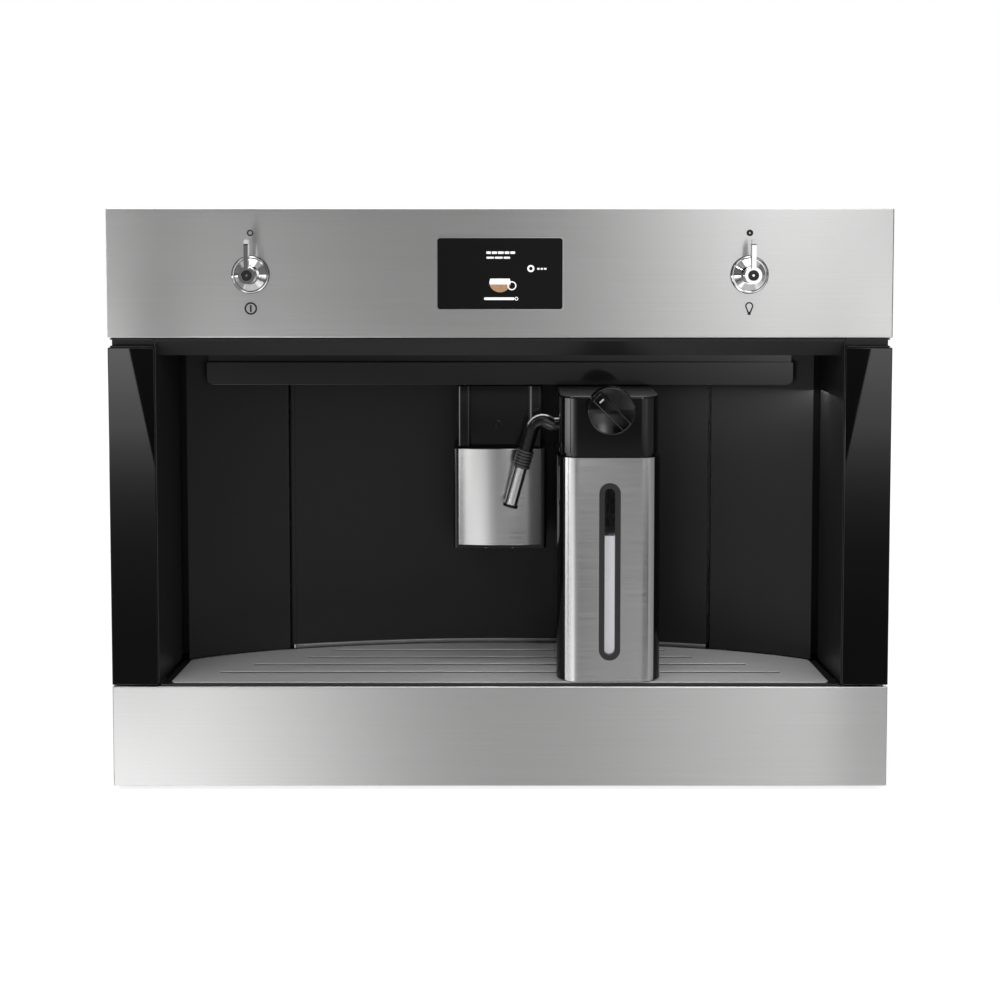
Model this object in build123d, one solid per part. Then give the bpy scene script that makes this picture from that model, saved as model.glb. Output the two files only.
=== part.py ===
from build123d import *
import os
from itertools import product
from math import cos, radians, sin, sqrt

# Built-in coffee machine. Every length is in millimetres.
# Shapes are drawn in the face frame: x to the right, y back from the plane of the two
# steel bars, z up from the lower edge of the face. save() moves them to the part's own
# frame, whose origin lies under the middle of the bounding box, on the niche floor.

# Face
face_width = 595.0
face_height = 444.0
upper_bar_height = 98.0
lower_bar_height = 77.6
bar_depth = 22.0
bar_sheet = 1.2
bar_edge_radius = 1.0
face_lift = 3.0
shadow_gap = 0.4
cut = 1.0

# Cup niche
reveal_taper = 4.0
reveal_depth = 62.0
liner_side = 2.2
bevel_drop = 11.4
bevel_depth = 10.0
bevel_heel = 2.4
bevel_toe = 3.4
liner_sheet = 3.0
liner_lip = 2.2
wall_depth = 108.6
door_arc_radius = 800.0
door_half_width = 171.0
door_seam = 2.6
wall_end_inset = 10.0
wall_end_lap = 2.0
wall_sheet = 3.0
wall_flange = 18.0
wall_flange_sheet = 2.0
tray_lift = 2.8
door_foot_gap = 3.6

# Bridge over the spout
bridge_end_gap = 16.0
bridge_drop = 28.5
bridge_lip = 18.0
bridge_setback = 6.0
bridge_corner_radius = 5.0

# Service door
door_top_gap = 1.5
hinge_inset = 0.8
hinge_set_back = 2.7
hinge_barrel_radius = 3.0
hinge_pin_radius = 1.5
pin_clearance = 0.05
pin_reach = 30.0
carrier_side_gap = 13.0
carrier_depth = 7.5
carrier_rim = 10.0
carrier_end_gap = 4.0
carrier_back_gap = 2.9
sill_setback = 4.0
sill_sheet = 13.0

# Side panels of the face
side_glass_width = 35.5
side_glass_thickness = 4.0
side_glass_edge = 0.7
side_glass_foot_gap = 1.4
side_glass_head_gap = 7.4
glass_reveal = 1.0
side_groove_height = 4.6
side_groove_depth = 6.0
moulding_inset = 1.3
moulding_set_back = 2.0
moulding_wall = 2.4

# Display and controls
display_width = 94.6
display_height = 53.8
display_rise = 48.7
display_corner = 2.0
display_set_back = 0.1
display_glass_thickness = 2.0
display_module_depth = 12.0
display_module_margin = 7.0
knob_x = 188.5
knob_rise = 48.0
knob_base_radius = 14.0
knob_base_height = 4.6
dish_edge = 1.5
dish_crest = 2.0
dish_crest_inset = 0.9
dish_valley = 1.2
dish_valley_inset = 1.6
dish_hub_gap = 0.8
hub_radius = 6.4
hub_reach = 18.0
hub_centre_radius = 4.1
hub_recess = 1.0
lever_proud = 2.0
lever_length = 26.7
lever_width = 3.2
lever_thickness = 4.4
lever_cap_length = 3.2
lever_groove = 0.8
shaft_radius = 3.0
shaft_length = 12.0
switch_size = 22.0
switch_depth = 12.5

# Spout carriage and its guide
guide_half_width = 34.0
guide_column = 10.5
guide_corner = 2.5
guide_set_back = 8.0
guide_recess = 3.6
guide_lap = 26.5
guide_sheet = 3.4
guide_mark_x = -2.0
guide_mark_drop = 32.5
guide_mark_radius = 2.8
guide_mark_stroke = 0.8
guide_mark_depth = 0.6
carriage_half_width = 37.3
carriage_front = 56.0
carriage_wall_gap = 4.6
carriage_drop = 50.6
carriage_height = 80.1
carriage_wall = 3.0
carriage_floor = 3.2
carriage_corner = 3.0
slide_clearance = 0.3
rib_y = 86.0
rib_width = 3.4
rib_height = 1.2
spout_plate_side_gap = 4.3
spout_plate_bulge = 2.2
spout_plate_edge = 0.8
spout_plate_foot = 2.8
nozzle_x = 11.0
nozzle_y = 78.0
nozzle_radius = 4.5
nozzle_bore = 2.2
nozzle_drop = 4.0
nozzle_length = 13.0
nozzle_collar = 2.0

# Milk carafe
carafe_gap = 6.7
carafe_width = 80.0
carafe_front = 2.0
carafe_wall_gap = 16.6
carafe_lift = 0.6
carafe_front_radius = 16.0
carafe_back_radius = 6.0
carafe_wall = 3.5
plate_side_gap = 6.0
plate_sheet = 1.0
plate_wrap = 8.0
window_width = 16.5
window_foot_gap = 16.5
window_head_gap = 19.1
window_slot_width = 7.9
window_frame_depth = 5.0
window_proud = 0.4
window_lens_depth = 2.5
lid_gap = 1.7
lid_height = 44.8
lid_neck = 3.0
lid_inset = 1.6
lid_neck_inset = 3.2
lid_plug_depth = 9.0
lid_roof = 10.0
lid_wall = 12.0
lid_edge_radius = 2.5
intake_radius = 3.0
intake_wall = 1.0
intake_foot = 6.0
dock_half_width = 20.0
dock_foot_gap = 5.0
dock_head_gap = 3.8
dock_clearance = 0.4
plug_radius = 5.0
plug_length = 8.0
dial_drop = 10.3
dial_radius = 18.0
dial_depth = 14.7
dial_edge = 1.2
dial_gap = 0.3
dial_grip_depth = 5.0
dial_grip_width = 9.0
dial_grip_inset = 1.5
dial_grip_edge = 1.0
dial_grip_angle = 45.0
dial_grooves = 28
dial_groove_radius = 0.8
dial_groove_ends = (2.5, 2.0)
dial_shaft_radius = 4.0
dial_shaft_length = 9.0

# Milk spout, a bent tube that swings about its leg in the lid
milk_pivot_y = 38.0
milk_pivot_drop = 26.8
milk_elbow_drop = 20.3
milk_reach = 17.8
milk_leg = 4.0
milk_insert = 8.0
milk_lean = 15.5
milk_tube_radius = 5.4
milk_bore = 3.4
milk_bend_start = 5.0
milk_bend_radius = 9.0
sleeve_start = 27.6
sleeve_length = 14.6
sleeve_radius = 6.85
sleeve_valley = 6.0
sleeve_ribs = 6
tip_radius = 5.1
tip_length = 29.7
tip_ring_radius = 6.0
tip_ring_length = 2.5

# Tray drawer
grid_front = 3.3
grid_side_gap = 8.0
grid_sheet = 1.0
grid_wall_gap = 0.8
grid_corner = 3.0
slot_width = 3.6
slot_wall_gaps = (80.6, 60.6, 40.6, 21.6)
slot_side_gaps = (32.5, 56.0, 96.0, 116.0)
rim_side_gap = 1.0
rim_back_side_gap = 1.4
rim_front = 1.5
rim_sheet = 1.4
tub_side_gap = 26.0
tub_front_gap = 4.0
tub_back_gap = 0.5
tub_bottom = 38.0
tub_wall = 2.0
drawer_side_gap = 42.0
drawer_back = 300.0
drawer_bottom = 6.0
drawer_wall = 2.0
drawer_way = 4.0
grounds_half_width = 100.0
grounds_length = 160.0
grounds_back_gap = 10.0
grounds_top = 64.0
grounds_wall = 2.0

# Chassis behind the face
frame_sheet = 2.0
frame_side_gap = 3.5
frame_end_gap = 4.0
frame_liner_gap = 0.3
frame_window_side = 54.0
frame_window_rim = 6.0
liner_clearance = 1.6
chassis_depth = 350.0
chassis_bottom = 3.0
chassis_rise = 12.0
chassis_sheet = 1.2
bulkhead_sheet = 2.0
service_side = 21.0
service_rim = 7.0
shelf_lift = 3.6
shelf_sheet = 1.5
screw_radius = 1.5
screw_head_radius = 3.4
screw_head = 1.4
screw_length = 7.0
screw_clearance = 0.1
screw_inset = 8.0
screw_heights = (120.0, 300.0)
vent_rows = 8
vent_x = -170.0
vent_z = 110.0
vent_pitch = 12.0
vent_length = 90.0
vent_width = 5.0

# Telescopic rails and their base
rail_stack = 11.5
rail_front = 8.0
rail_back_gap = 12.0
rail_bottom = 20.0
rail_height = 42.0
rail_sheet = 1.2
rail_clearance = 0.4
base_sheet = 2.0
flange_sheet = 1.5
mount_hole_radius = 2.5
mount_hole_x = 220.0
mount_hole_front = 70.0
mount_hole_back = 320.0

# Grinder, bean hopper and its lid
grinder_x = 60.0
grinder_y = 250.0
motor_radius = 34.0
motor_height = 129.5
motor_bore_depth = 15.0
grinder_radius = 42.0
grinder_height = 85.0
grinder_floor = 4.0
grinder_cavity_radius = 29.0
grinder_mouth_radius = 14.0
burr_radius = 24.0
burr_top_radius = 9.0
burr_height = 34.0
burr_lift = 12.0
burr_shaft_radius = 4.0
burr_shaft_gap = 1.0
chute_width = 30.0
chute_height = 18.0
hopper_half_width = 65.0
hopper_half_depth = 60.0
hopper_wall = 2.5
hopper_lid_height = 5.0
hopper_lid_edge = 2.0
hopper_lid_corner = 8.0
hopper_lid_inset = 4.0
hopper_lid_back = 2.2
hopper_lid_web = 9.0
hopper_lid_step = 0.2
lid_hinge_rise = 3.6
lid_hinge_radius = 3.0
lid_hinge_half = 50.0
lid_ear = 4.0

# Brewing unit
brew_x = -30.0
brew_y = 172.0
brew_half_width = 42.0
brew_half_depth = 34.0
brew_base = 8.0
brew_post = 10.0
brew_top_gap = 20.3
chamber_radius = 26.0
chamber_bore = 20.0
chamber_height = 62.0
piston_radius = 19.7
piston_height = 12.0
piston_lift = 12.0
piston_rod_radius = 5.0
piston_travel = 45.0
piston_cap = 6.0
piston_cap_radius = 9.0

# Water system and electrics
tank_side_gap = 4.0
tank_right = -176.0
tank_front_gap = 6.0
tank_length = 110.0
tank_wall = 2.5
tank_gap = 1.5
tank_grip_depth = 14.0
tank_grip_width = 30.0
tank_grip_height = 6.0
heater_x = -130.0
heater_y = 290.0
heater_half_width = 32.0
heater_half_depth = 42.0
heater_height = 84.0
heater_fins = 7
heater_fin_depth = 5.0
pump_x = -130.0
pump_y = 182.0
pump_radius = 20.0
pump_length = 84.0
pump_lift = 26.0
pump_foot_half_width = 8.0
pump_foot_inset = 10.0
hose_radius = 3.5
hose_bend = 8.4
board_half_width = 70.0
board_x = -20.0
board_bottom = 190.0
board_height = 120.0
board_sheet = 1.6
board_standoff = 7.0
board_post_radius = 3.0
board_post_inset = 8.0
board_part_places = (-40.0, 0.0, 38.0)
board_part_depths = (18.0, 26.0, 14.0)
board_part_half_width = 12.0
board_part_rise = 30.0
inlet_side_gap = 51.0
inlet_z = 40.0
inlet_width = 28.0
inlet_height = 20.0
inlet_depth = 24.0
inlet_wall = 2.5
inlet_corner = 3.0
inlet_well_depth = 16.0
inlet_flange = 5.0
inlet_flange_sheet = 2.0
blade_pitch = 7.0
blade_half_width = 1.0
blade_half_height = 2.0
blade_set_back = 3.0

# Worked out from the sizes above
face_half = face_width / 2
niche_half_width = face_half - side_glass_width - glass_reveal
liner_outer_half = niche_half_width + liner_side
wall_end_x = niche_half_width - wall_end_inset
wall_end_depth = reveal_depth - wall_end_lap
side_panel_start = door_half_width + door_seam
panel_bottom = face_height - upper_bar_height
bezel_top = panel_bottom - shadow_gap
roof_z = bezel_top - liner_lip - bevel_drop
display_z = panel_bottom + display_rise
knob_z = panel_bottom + knob_rise
tray_top = lower_bar_height + tray_lift
door_foot = tray_top + door_foot_gap
bridge_bottom = roof_z - bridge_drop
bridge_step = bridge_bottom + bridge_lip
bridge_half_width = wall_end_x - bridge_end_gap
hinge_x = hinge_inset - door_half_width
bulkhead_y = wall_depth + wall_sheet + carrier_depth + carrier_back_gap
glass_z = (lower_bar_height + side_glass_foot_gap, panel_bottom - side_glass_head_gap)
carriage_back = wall_depth - carriage_wall_gap
carriage_top = bridge_bottom - carriage_drop
carriage_bottom = carriage_top - carriage_height
guide_front = carriage_front + guide_set_back
guide_bottom = carriage_top - guide_lap
carafe_x = carriage_half_width + carafe_gap + carafe_width / 2
carafe_back = wall_depth - carafe_wall_gap
carafe_middle = (carafe_front + carafe_back) / 2
carafe_bottom = tray_top + carafe_lift
lid_top = bridge_bottom - lid_gap
lid_bottom = lid_top - lid_height
lid_front = carafe_front + lid_inset
lid_side = carafe_x - carafe_width / 2 + lid_inset
carafe_top = lid_bottom - lid_neck
dock_z = (lid_bottom + dock_foot_gap, lid_top - dock_head_gap)
dial_z = lid_top - dial_drop
milk_pivot_z = lid_top - milk_pivot_drop
milk_elbow_x = lid_side - milk_reach
milk_elbow_z = lid_top - milk_elbow_drop
frame_half_width = face_half - frame_side_gap
frame_opening_half = liner_outer_half + frame_liner_gap
frame_top = face_height - frame_end_gap
chassis_half_width = liner_outer_half + liner_clearance + chassis_sheet
chassis_top = panel_bottom + chassis_rise
chassis_front = bar_depth + frame_sheet
chassis_back = chassis_front + chassis_depth
inner_half = chassis_half_width - chassis_sheet
cover_bottom = chassis_top - chassis_sheet
floor_top = chassis_bottom + chassis_sheet
shelf_z = tray_top + shelf_lift
shelf_top = shelf_z + shelf_sheet
tub_half_width = wall_end_x - tub_side_gap
drawer_half_width = chassis_half_width - drawer_side_gap
lid_hinge_y = grinder_y + hopper_half_depth + lid_hinge_radius
lid_hinge_z = chassis_top + lid_hinge_rise
front_reach = hub_reach + lever_proud
front_offset = (front_reach - chassis_back) / 2
place = Pos(0, front_offset, face_lift)


def block(x, y, z):
    """A box between the two values given for each axis."""
    size = [limits[1] - limits[0] for limits in (x, y, z)]
    middle = [(limits[1] + limits[0]) / 2 for limits in (x, y, z)]
    return Pos(*middle) * Box(*size)


def bar_x(x, y, z, radius):
    """A round bar along x between two values of x."""
    return Pos((x[0] + x[1]) / 2, y, z) * Rot(0, 90, 0) * Cylinder(radius, x[1] - x[0])


def bar_y(x, y, z, radius):
    """A round bar along y between two values of y."""
    return Pos(x, (y[0] + y[1]) / 2, z) * Rot(90, 0, 0) * Cylinder(radius, y[1] - y[0])


def bar_z(x, y, z, radius):
    """A round bar along z between two values of z."""
    return Pos(x, y, (z[0] + z[1]) / 2) * Cylinder(radius, z[1] - z[0])


def upright(plan, z):
    """A plan outline raised between two heights."""
    return extrude(Pos(0, 0, z[0]) * plan, z[1] - z[0], dir=(0, 0, 1))


def across(points, x):
    """A y-z outline extruded between two values of x."""
    outline = make_face(Plane.YZ * Polyline(*points, close=True))
    return extrude(Pos(x[0], 0, 0) * outline, x[1] - x[0], dir=(1, 0, 0))


def through(outline, y):
    """An x-z outline extruded between two values of y."""
    return extrude(Pos(0, y[0], 0) * (Plane.XZ * outline), y[1] - y[0], dir=(0, 1, 0))


def mirrored(shape):
    """The same shape on the other side of the middle plane."""
    return mirror(shape, about=Plane.YZ)


def save(name, *solids):
    """Write one node, moved to the part's own frame."""
    moved = [place * solid for solid in solids]
    shape = moved[0] if len(moved) == 1 else Compound(children=moved)
    export_step(shape, "parts/" + name + ".step")


def tub(x, y, z, wall):
    """A box open at the top."""
    inside = block((x[0] + wall, x[1] - wall), (y[0] + wall, y[1] - wall), (z[0] + wall, z[1] + cut))
    return block(x, y, z) - inside


def wall_y(x):
    """Depth of the door's face at x."""
    return wall_depth - (door_arc_radius - sqrt(door_arc_radius**2 - x**2))


hinge_y = wall_y(hinge_x) + hinge_set_back


def wall_curves(shift):
    """The niche wall in plan, moved back by shift: left, middle and right arcs."""
    start = side_panel_start
    slope = start / sqrt(door_arc_radius**2 - start**2)
    edge = wall_y(start) + shift
    middle = ThreePointArc((-start, edge), (0, wall_depth + shift), (start, edge))
    right = TangentArc((start, edge), (wall_end_x, wall_end_depth + shift), tangent=(1, -slope))
    left = TangentArc((-start, edge), (-wall_end_x, wall_end_depth + shift), tangent=(-1, -slope))
    return left, middle, right


def behind_wall(shift, z):
    """Everything behind the niche wall, with the wall moved back by shift."""
    far = 2 * bulkhead_y
    corner = wall_end_depth + shift
    back = corner + wall_flange
    outline = Polyline(
        (-wall_end_x, corner), (-wall_end_x, back), (-face_half, back), (-face_half, far),
        (face_half, far), (face_half, back), (wall_end_x, back), (wall_end_x, corner),
    )
    return upright(make_face([*wall_curves(shift), outline]), z)


def thick(curve, thickness):
    """The plan outline between a curve and its copy moved back."""
    back = Pos(0, thickness) * curve
    return make_face([curve, back, Line(curve @ 0, back @ 0), Line(curve @ 1, back @ 1)])


def steel_bar(z):
    """A folded steel bar: front and four returns, open at the back."""
    shell = block((-face_half, face_half), (0, bar_depth), z)
    front_edges = shell.faces().sort_by(Axis.Y)[0].edges()
    shell = fillet([*front_edges, *shell.edges().filter_by(Axis.Y)], bar_edge_radius)
    inner = face_half - bar_sheet
    inner_z = (z[0] + bar_sheet, z[1] - bar_sheet)
    return shell - block((-inner, inner), (bar_sheet, bar_depth + cut), inner_z)


def rails():
    """Rail base with its bolt holes, and the three members of each telescopic rail."""
    flange = chassis_half_width + rail_stack
    rail_top = rail_bottom + rail_height
    y = (chassis_front + rail_front, chassis_back - rail_back_gap)
    base = block((-flange - flange_sheet, flange + flange_sheet), y, (-face_lift, base_sheet - face_lift))
    upstand = block((flange, flange + flange_sheet), y, (base_sheet - face_lift, rail_top))
    base = base + upstand + mirrored(upstand)
    for x in (-mount_hole_x, mount_hole_x):
        for depth in (mount_hole_front, mount_hole_back):
            base = base - bar_z(x, depth, (-face_lift - cut, base_sheet - face_lift + cut), mount_hole_radius)
    save("rail_base", base)

    def channel(outside, inside, low, high):
        """A C-section open towards the middle of the machine."""
        hollow = block((inside - cut, outside - rail_sheet), y, (low + rail_sheet, high - rail_sheet))
        return block((inside, outside), y, (low, high)) - hollow

    lip = chassis_half_width + 2 * rail_clearance + rail_sheet
    outer = channel(flange, lip + rail_sheet, rail_bottom, rail_top)
    step = rail_sheet + rail_clearance
    middle = channel(flange - step, lip, rail_bottom + step, rail_top - step)
    bar_half = (chassis_half_width, flange - 2 * step)
    inner = block(bar_half, y, (rail_bottom + 2 * step, rail_top - 2 * step))
    save("outer_rails", outer, mirrored(outer))
    save("middle_rails", middle, mirrored(middle))
    save("inner_rails", inner, mirrored(inner))


def chassis():
    """Sheet-metal housing behind the face, its cross members and its screws."""
    y = (chassis_front, chassis_back)
    z = (floor_top, cover_bottom)
    half = chassis_half_width
    save("chassis_base", block((-half, half), y, (chassis_bottom, floor_top)))

    back = block((-inner_half, inner_half), (chassis_back - chassis_sheet, chassis_back), z)
    inlet_x, inlet_z_limits = inlet_plan()
    back = back - block(inlet_x, y, inlet_z_limits)
    for row in range(vent_rows):
        vent = Pos(vent_x, vent_z + vent_pitch * row) * SlotOverall(vent_length, vent_width)
        back = back - through(vent, y)
    save("chassis_back", back)

    side = block((inner_half, half), y, z)
    screws = []
    for depth, height in product((reveal_depth + screw_inset, chassis_back - screw_inset), screw_heights):
        side = side - bar_x((inner_half - cut, half + cut), depth, height, screw_radius + screw_clearance)
        shank = bar_x((half - screw_length, half), depth, height, screw_radius)
        head = bar_x((half, half + screw_head), depth, height, screw_head_radius)
        screws += [shank + head, mirrored(shank + head)]
    save("chassis_sides", side, mirrored(side))
    save("chassis_screws", *screws)

    cover = block((-half, half), y, (cover_bottom, chassis_top))
    mouth_x = (grinder_x - hopper_half_width + hopper_wall, grinder_x + hopper_half_width - hopper_wall)
    mouth_y = (grinder_y - hopper_half_depth + hopper_wall, grinder_y + hopper_half_depth - hopper_wall)
    cover = cover - block(mouth_x, mouth_y, (0, chassis_top + cut))
    tank_x, tank_y = tank_plan()
    well_x = (tank_x[0] - tank_gap, tank_x[1] + tank_gap)
    well_y = (tank_y[0] - tank_gap, tank_y[1] + tank_gap)
    cover = cover - block(well_x, well_y, (0, chassis_top + cut))
    for side_sign in (-1, 1):
        near = grinder_x + side_sign * (lid_hinge_half + shadow_gap)
        far = near + side_sign * lid_ear
        ear_y = (lid_hinge_y - lid_hinge_radius, lid_hinge_y + lid_hinge_radius)
        cover = cover + block(sorted((near, far)), ear_y, (chassis_top, lid_hinge_z + lid_hinge_radius))
    bore_half = lid_hinge_half + shadow_gap + lid_ear + cut
    bore_x = (grinder_x - bore_half, grinder_x + bore_half)
    cover = cover - bar_x(bore_x, lid_hinge_y, lid_hinge_z, hinge_pin_radius + pin_clearance)
    save("top_cover", cover)

    # the front frame is six flat strips, welded edge to edge
    frame_y = (bar_depth, chassis_front)
    niche_top = bezel_top + shadow_gap / 2
    window_bottom = chassis_top + frame_window_rim
    window_top = frame_top - frame_window_rim
    leg = block((frame_opening_half, frame_half_width), frame_y, (frame_end_gap, niche_top))
    window_half = frame_half_width - frame_window_side
    post = block((window_half, frame_half_width), frame_y, (window_bottom, window_top))
    whole_width = (-frame_half_width, frame_half_width)
    lintel = block(whole_width, frame_y, (niche_top, window_bottom))
    top_strip = block(whole_width, frame_y, (window_top, frame_top))
    save("front_frame", leg, mirrored(leg), lintel, post, mirrored(post), top_strip)

    bulkhead_limits = (bulkhead_y, bulkhead_y + bulkhead_sheet)
    bulkhead = block((-inner_half, inner_half), bulkhead_limits, (floor_top, cover_bottom))
    cut_y = (bulkhead_y - cut, bulkhead_y + bulkhead_sheet + cut)
    service_half = door_half_width - service_side
    service_z = (shelf_top + service_rim, bridge_bottom - service_rim)
    bulkhead = bulkhead - block((-service_half, service_half), cut_y, service_z)
    drawer_opening = (-drawer_half_width - drawer_way, drawer_half_width + drawer_way)
    bulkhead = bulkhead - block(drawer_opening, cut_y, (0, grounds_top + drawer_way))
    sill_top = door_foot - shadow_gap
    sill_z = (sill_top - sill_sheet, sill_top)
    sill = block((-door_half_width, door_half_width), (0, bulkhead_y), sill_z)
    sill = sill & behind_wall(sill_setback, sill_z)
    sill = sill - bar_z(hinge_x, hinge_y, (sill_z[0] - cut, sill_top + cut), hinge_pin_radius)
    save("bulkhead", bulkhead + sill)

    shelf_y = (bulkhead_y + bulkhead_sheet, chassis_back - chassis_sheet)
    shelf = block((-inner_half, inner_half), shelf_y, (shelf_z, shelf_top))
    save("inner_shelf", shelf - bar_z(brew_x, brew_y, (shelf_z - cut, shelf_top + cut), chamber_bore))


def face():
    """Upper and lower steel bars, side glasses and the mouldings behind them."""
    panel = steel_bar((panel_bottom, face_height))
    window = RectangleRounded(display_width, display_height, display_corner)
    sheet_y = (-cut, bar_sheet + cut)
    panel = panel - through(Pos(0, display_z) * window, sheet_y)
    for x in (-knob_x, knob_x):
        panel = panel - bar_y(x, sheet_y, knob_z, shaft_radius + shadow_gap)
    save("control_panel", panel)

    inner = niche_half_width + glass_reveal
    glass = block((inner, face_half), (0, side_glass_thickness), glass_z)
    glass = fillet(glass.faces().sort_by(Axis.Y)[0].edges(), side_glass_edge)
    save("side_glasses", glass, mirrored(glass))

    moulding_x = (liner_outer_half, face_half - moulding_inset)
    moulding = block(moulding_x, (side_glass_thickness, bar_depth), glass_z)
    moulding = moulding + block(moulding_x, (moulding_set_back, bar_depth), (glass_z[1], bezel_top))
    groove_y = (0, moulding_set_back + side_groove_depth)
    groove_low = (glass_z[1] + bezel_top - side_groove_height) / 2
    moulding = moulding - block((inner, face_half), groove_y, (groove_low, groove_low + side_groove_height))
    pocket_x = (moulding_x[0] + moulding_wall, moulding_x[1] - moulding_wall)
    pocket_y = (side_glass_thickness + moulding_wall, bar_depth + cut)
    pocket_z = (glass_z[0] + moulding_wall, glass_z[1] - moulding_wall)
    moulding = moulding - block(pocket_x, pocket_y, pocket_z)
    save("side_carriers", moulding, mirrored(moulding))


def controls():
    """Display, the two lever knobs, their chrome bases and the switches behind them."""
    pane_gap = shadow_gap / 2
    pane = RectangleRounded(display_width - pane_gap, display_height - pane_gap, display_corner)
    pane_y = (display_set_back, display_set_back + display_glass_thickness)
    save("display_glass", through(Pos(0, display_z) * pane, pane_y))

    half_width = display_width / 2 + display_module_margin
    half_height = display_height / 2 + display_module_margin
    module_y = (bar_sheet, bar_sheet + display_module_depth)
    module = block((-half_width, half_width), module_y, (display_z - half_height, display_z + half_height))
    seat = RectangleRounded(display_width, display_height, display_corner)
    module = module - through(Pos(0, display_z) * seat, (0, pane_y[1]))
    save("display_module", module)

    bases, switches = [], []
    for x in (-knob_x, knob_x):
        rim = knob_base_radius
        bore = shaft_radius + pin_clearance
        profile = Polyline(
            (bore, 0), (rim, 0), (rim, dish_edge), (rim - dish_crest_inset, dish_crest),
            (rim - dish_valley_inset, dish_valley), (hub_radius + dish_hub_gap, knob_base_height),
            (bore, knob_base_height), close=True,
        )
        dish = revolve(make_face(Plane.XZ * profile), Axis.Z)
        bases.append(Pos(x, 0, knob_z) * Rot(90, 0, 0) * dish)
        half = switch_size / 2
        switch_y = (bar_sheet, bar_sheet + switch_depth)
        switch = block((x - half, x + half), switch_y, (knob_z - half, knob_z + half))
        switch = switch - bar_y(x, (0, shaft_length + shadow_gap), knob_z, shaft_radius + pin_clearance)
        switches.append(switch)
    save("knob_bases", *bases)
    save("rotary_switches", *switches)

    for name, x in (("power_lever", -knob_x), ("light_lever", knob_x)):
        save(name, lever(x))


def lever(x):
    """Hub with a recessed centre, a straight lever with a cap, and the switch shaft."""
    hub_back = -knob_base_height - shadow_gap
    hub = bar_y(x, (-hub_reach, hub_back), knob_z, hub_radius)
    hub = hub - bar_y(x, (-hub_reach - cut, hub_recess - hub_reach), knob_z, hub_centre_radius)
    half = lever_width / 2
    arm_y = (-front_reach, lever_thickness - hub_reach)
    reach = knob_z + lever_length
    arm = block((x - half, x + half), arm_y, (knob_z + hub_centre_radius + hub_recess, reach))
    arm = fillet(arm.edges().filter_by(Axis.Y).group_by(Axis.Z)[-1], half * 0.9)
    groove_z = reach - lever_cap_length
    groove_y = (-front_reach - cut, lever_groove - front_reach)
    groove = block((x - half - cut, x + half + cut), groove_y, (groove_z - lever_groove, groove_z))
    shaft = bar_y(x, (hub_back, shaft_length), knob_z, shaft_radius)
    return hub + arm - groove + shaft


def niche():
    """Liner with its bevelled beam, the concave side panels, the bridge and hinge pins."""
    lip = bezel_top - liner_lip
    beam = across(
        [
            (0, bezel_top), (0, lip), (bevel_depth, roof_z), (bulkhead_y, roof_z),
            (bulkhead_y, roof_z + liner_sheet), (bevel_depth + bevel_heel, roof_z + liner_sheet),
            (bevel_toe, bezel_top),
        ],
        (-liner_outer_half, liner_outer_half),
    )
    outer = liner_outer_half
    reveal = make_face(Polyline(
        (outer, 0), (niche_half_width, 0), (niche_half_width - reveal_taper, reveal_depth),
        (outer, reveal_depth), close=True,
    ))
    reveal = upright(reveal, (tray_top + shadow_gap, bezel_top))
    seat_x = (niche_half_width + glass_reveal - shadow_gap / 2, outer + cut)
    glass_seat = block(seat_x, (-cut, side_glass_thickness), (0, bezel_top + cut))
    save("niche_bezel", beam + reveal + mirrored(reveal) - glass_seat - mirrored(glass_seat))

    panel_z = (tray_top + shadow_gap, roof_z)
    right = upright(thick(wall_curves(0)[2], wall_sheet), panel_z)
    flange_y = (wall_end_depth + wall_sheet / 2, wall_end_depth + wall_flange)
    flange_x = wall_end_x - wall_flange_sheet
    flange = block((flange_x, wall_end_x), flange_y, panel_z)
    flange = flange + block((flange_x, inner_half), (flange_y[1] - wall_flange_sheet, flange_y[1]), panel_z)
    right = right + flange
    save("niche_side_panels", right, mirrored(right))

    half = bridge_half_width
    lower = block((-half, half), (reveal_depth, bulkhead_y), (bridge_bottom, bridge_step))
    ends = lower.edges().filter_by(Axis.Y).group_by(Axis.Z)[0]
    lower = fillet(ends, bridge_corner_radius)
    neck_y = (reveal_depth + bridge_setback, bulkhead_y)
    neck = block((-half, half), neck_y, (bridge_step, roof_z))
    bridge = lower + neck - behind_wall(-shadow_gap, (bridge_bottom - cut, roof_z + cut))
    save("upper_bridge", bridge)

    door_top = bridge_bottom - door_top_gap
    sill_low = door_foot - shadow_gap - sill_sheet
    upper_pin = bar_z(hinge_x, hinge_y, (door_top - pin_reach, roof_z), hinge_pin_radius)
    lower_pin = bar_z(hinge_x, hinge_y, (sill_low, door_foot + pin_reach), hinge_pin_radius)
    lid_pin_half = lid_hinge_half + shadow_gap + lid_ear
    lid_pin_x = (grinder_x - lid_pin_half, grinder_x + lid_pin_half)
    lid_pin = bar_x(lid_pin_x, lid_hinge_y, lid_hinge_z, hinge_pin_radius)
    save("hinge_pins", upper_pin, lower_pin, lid_pin)


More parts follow.
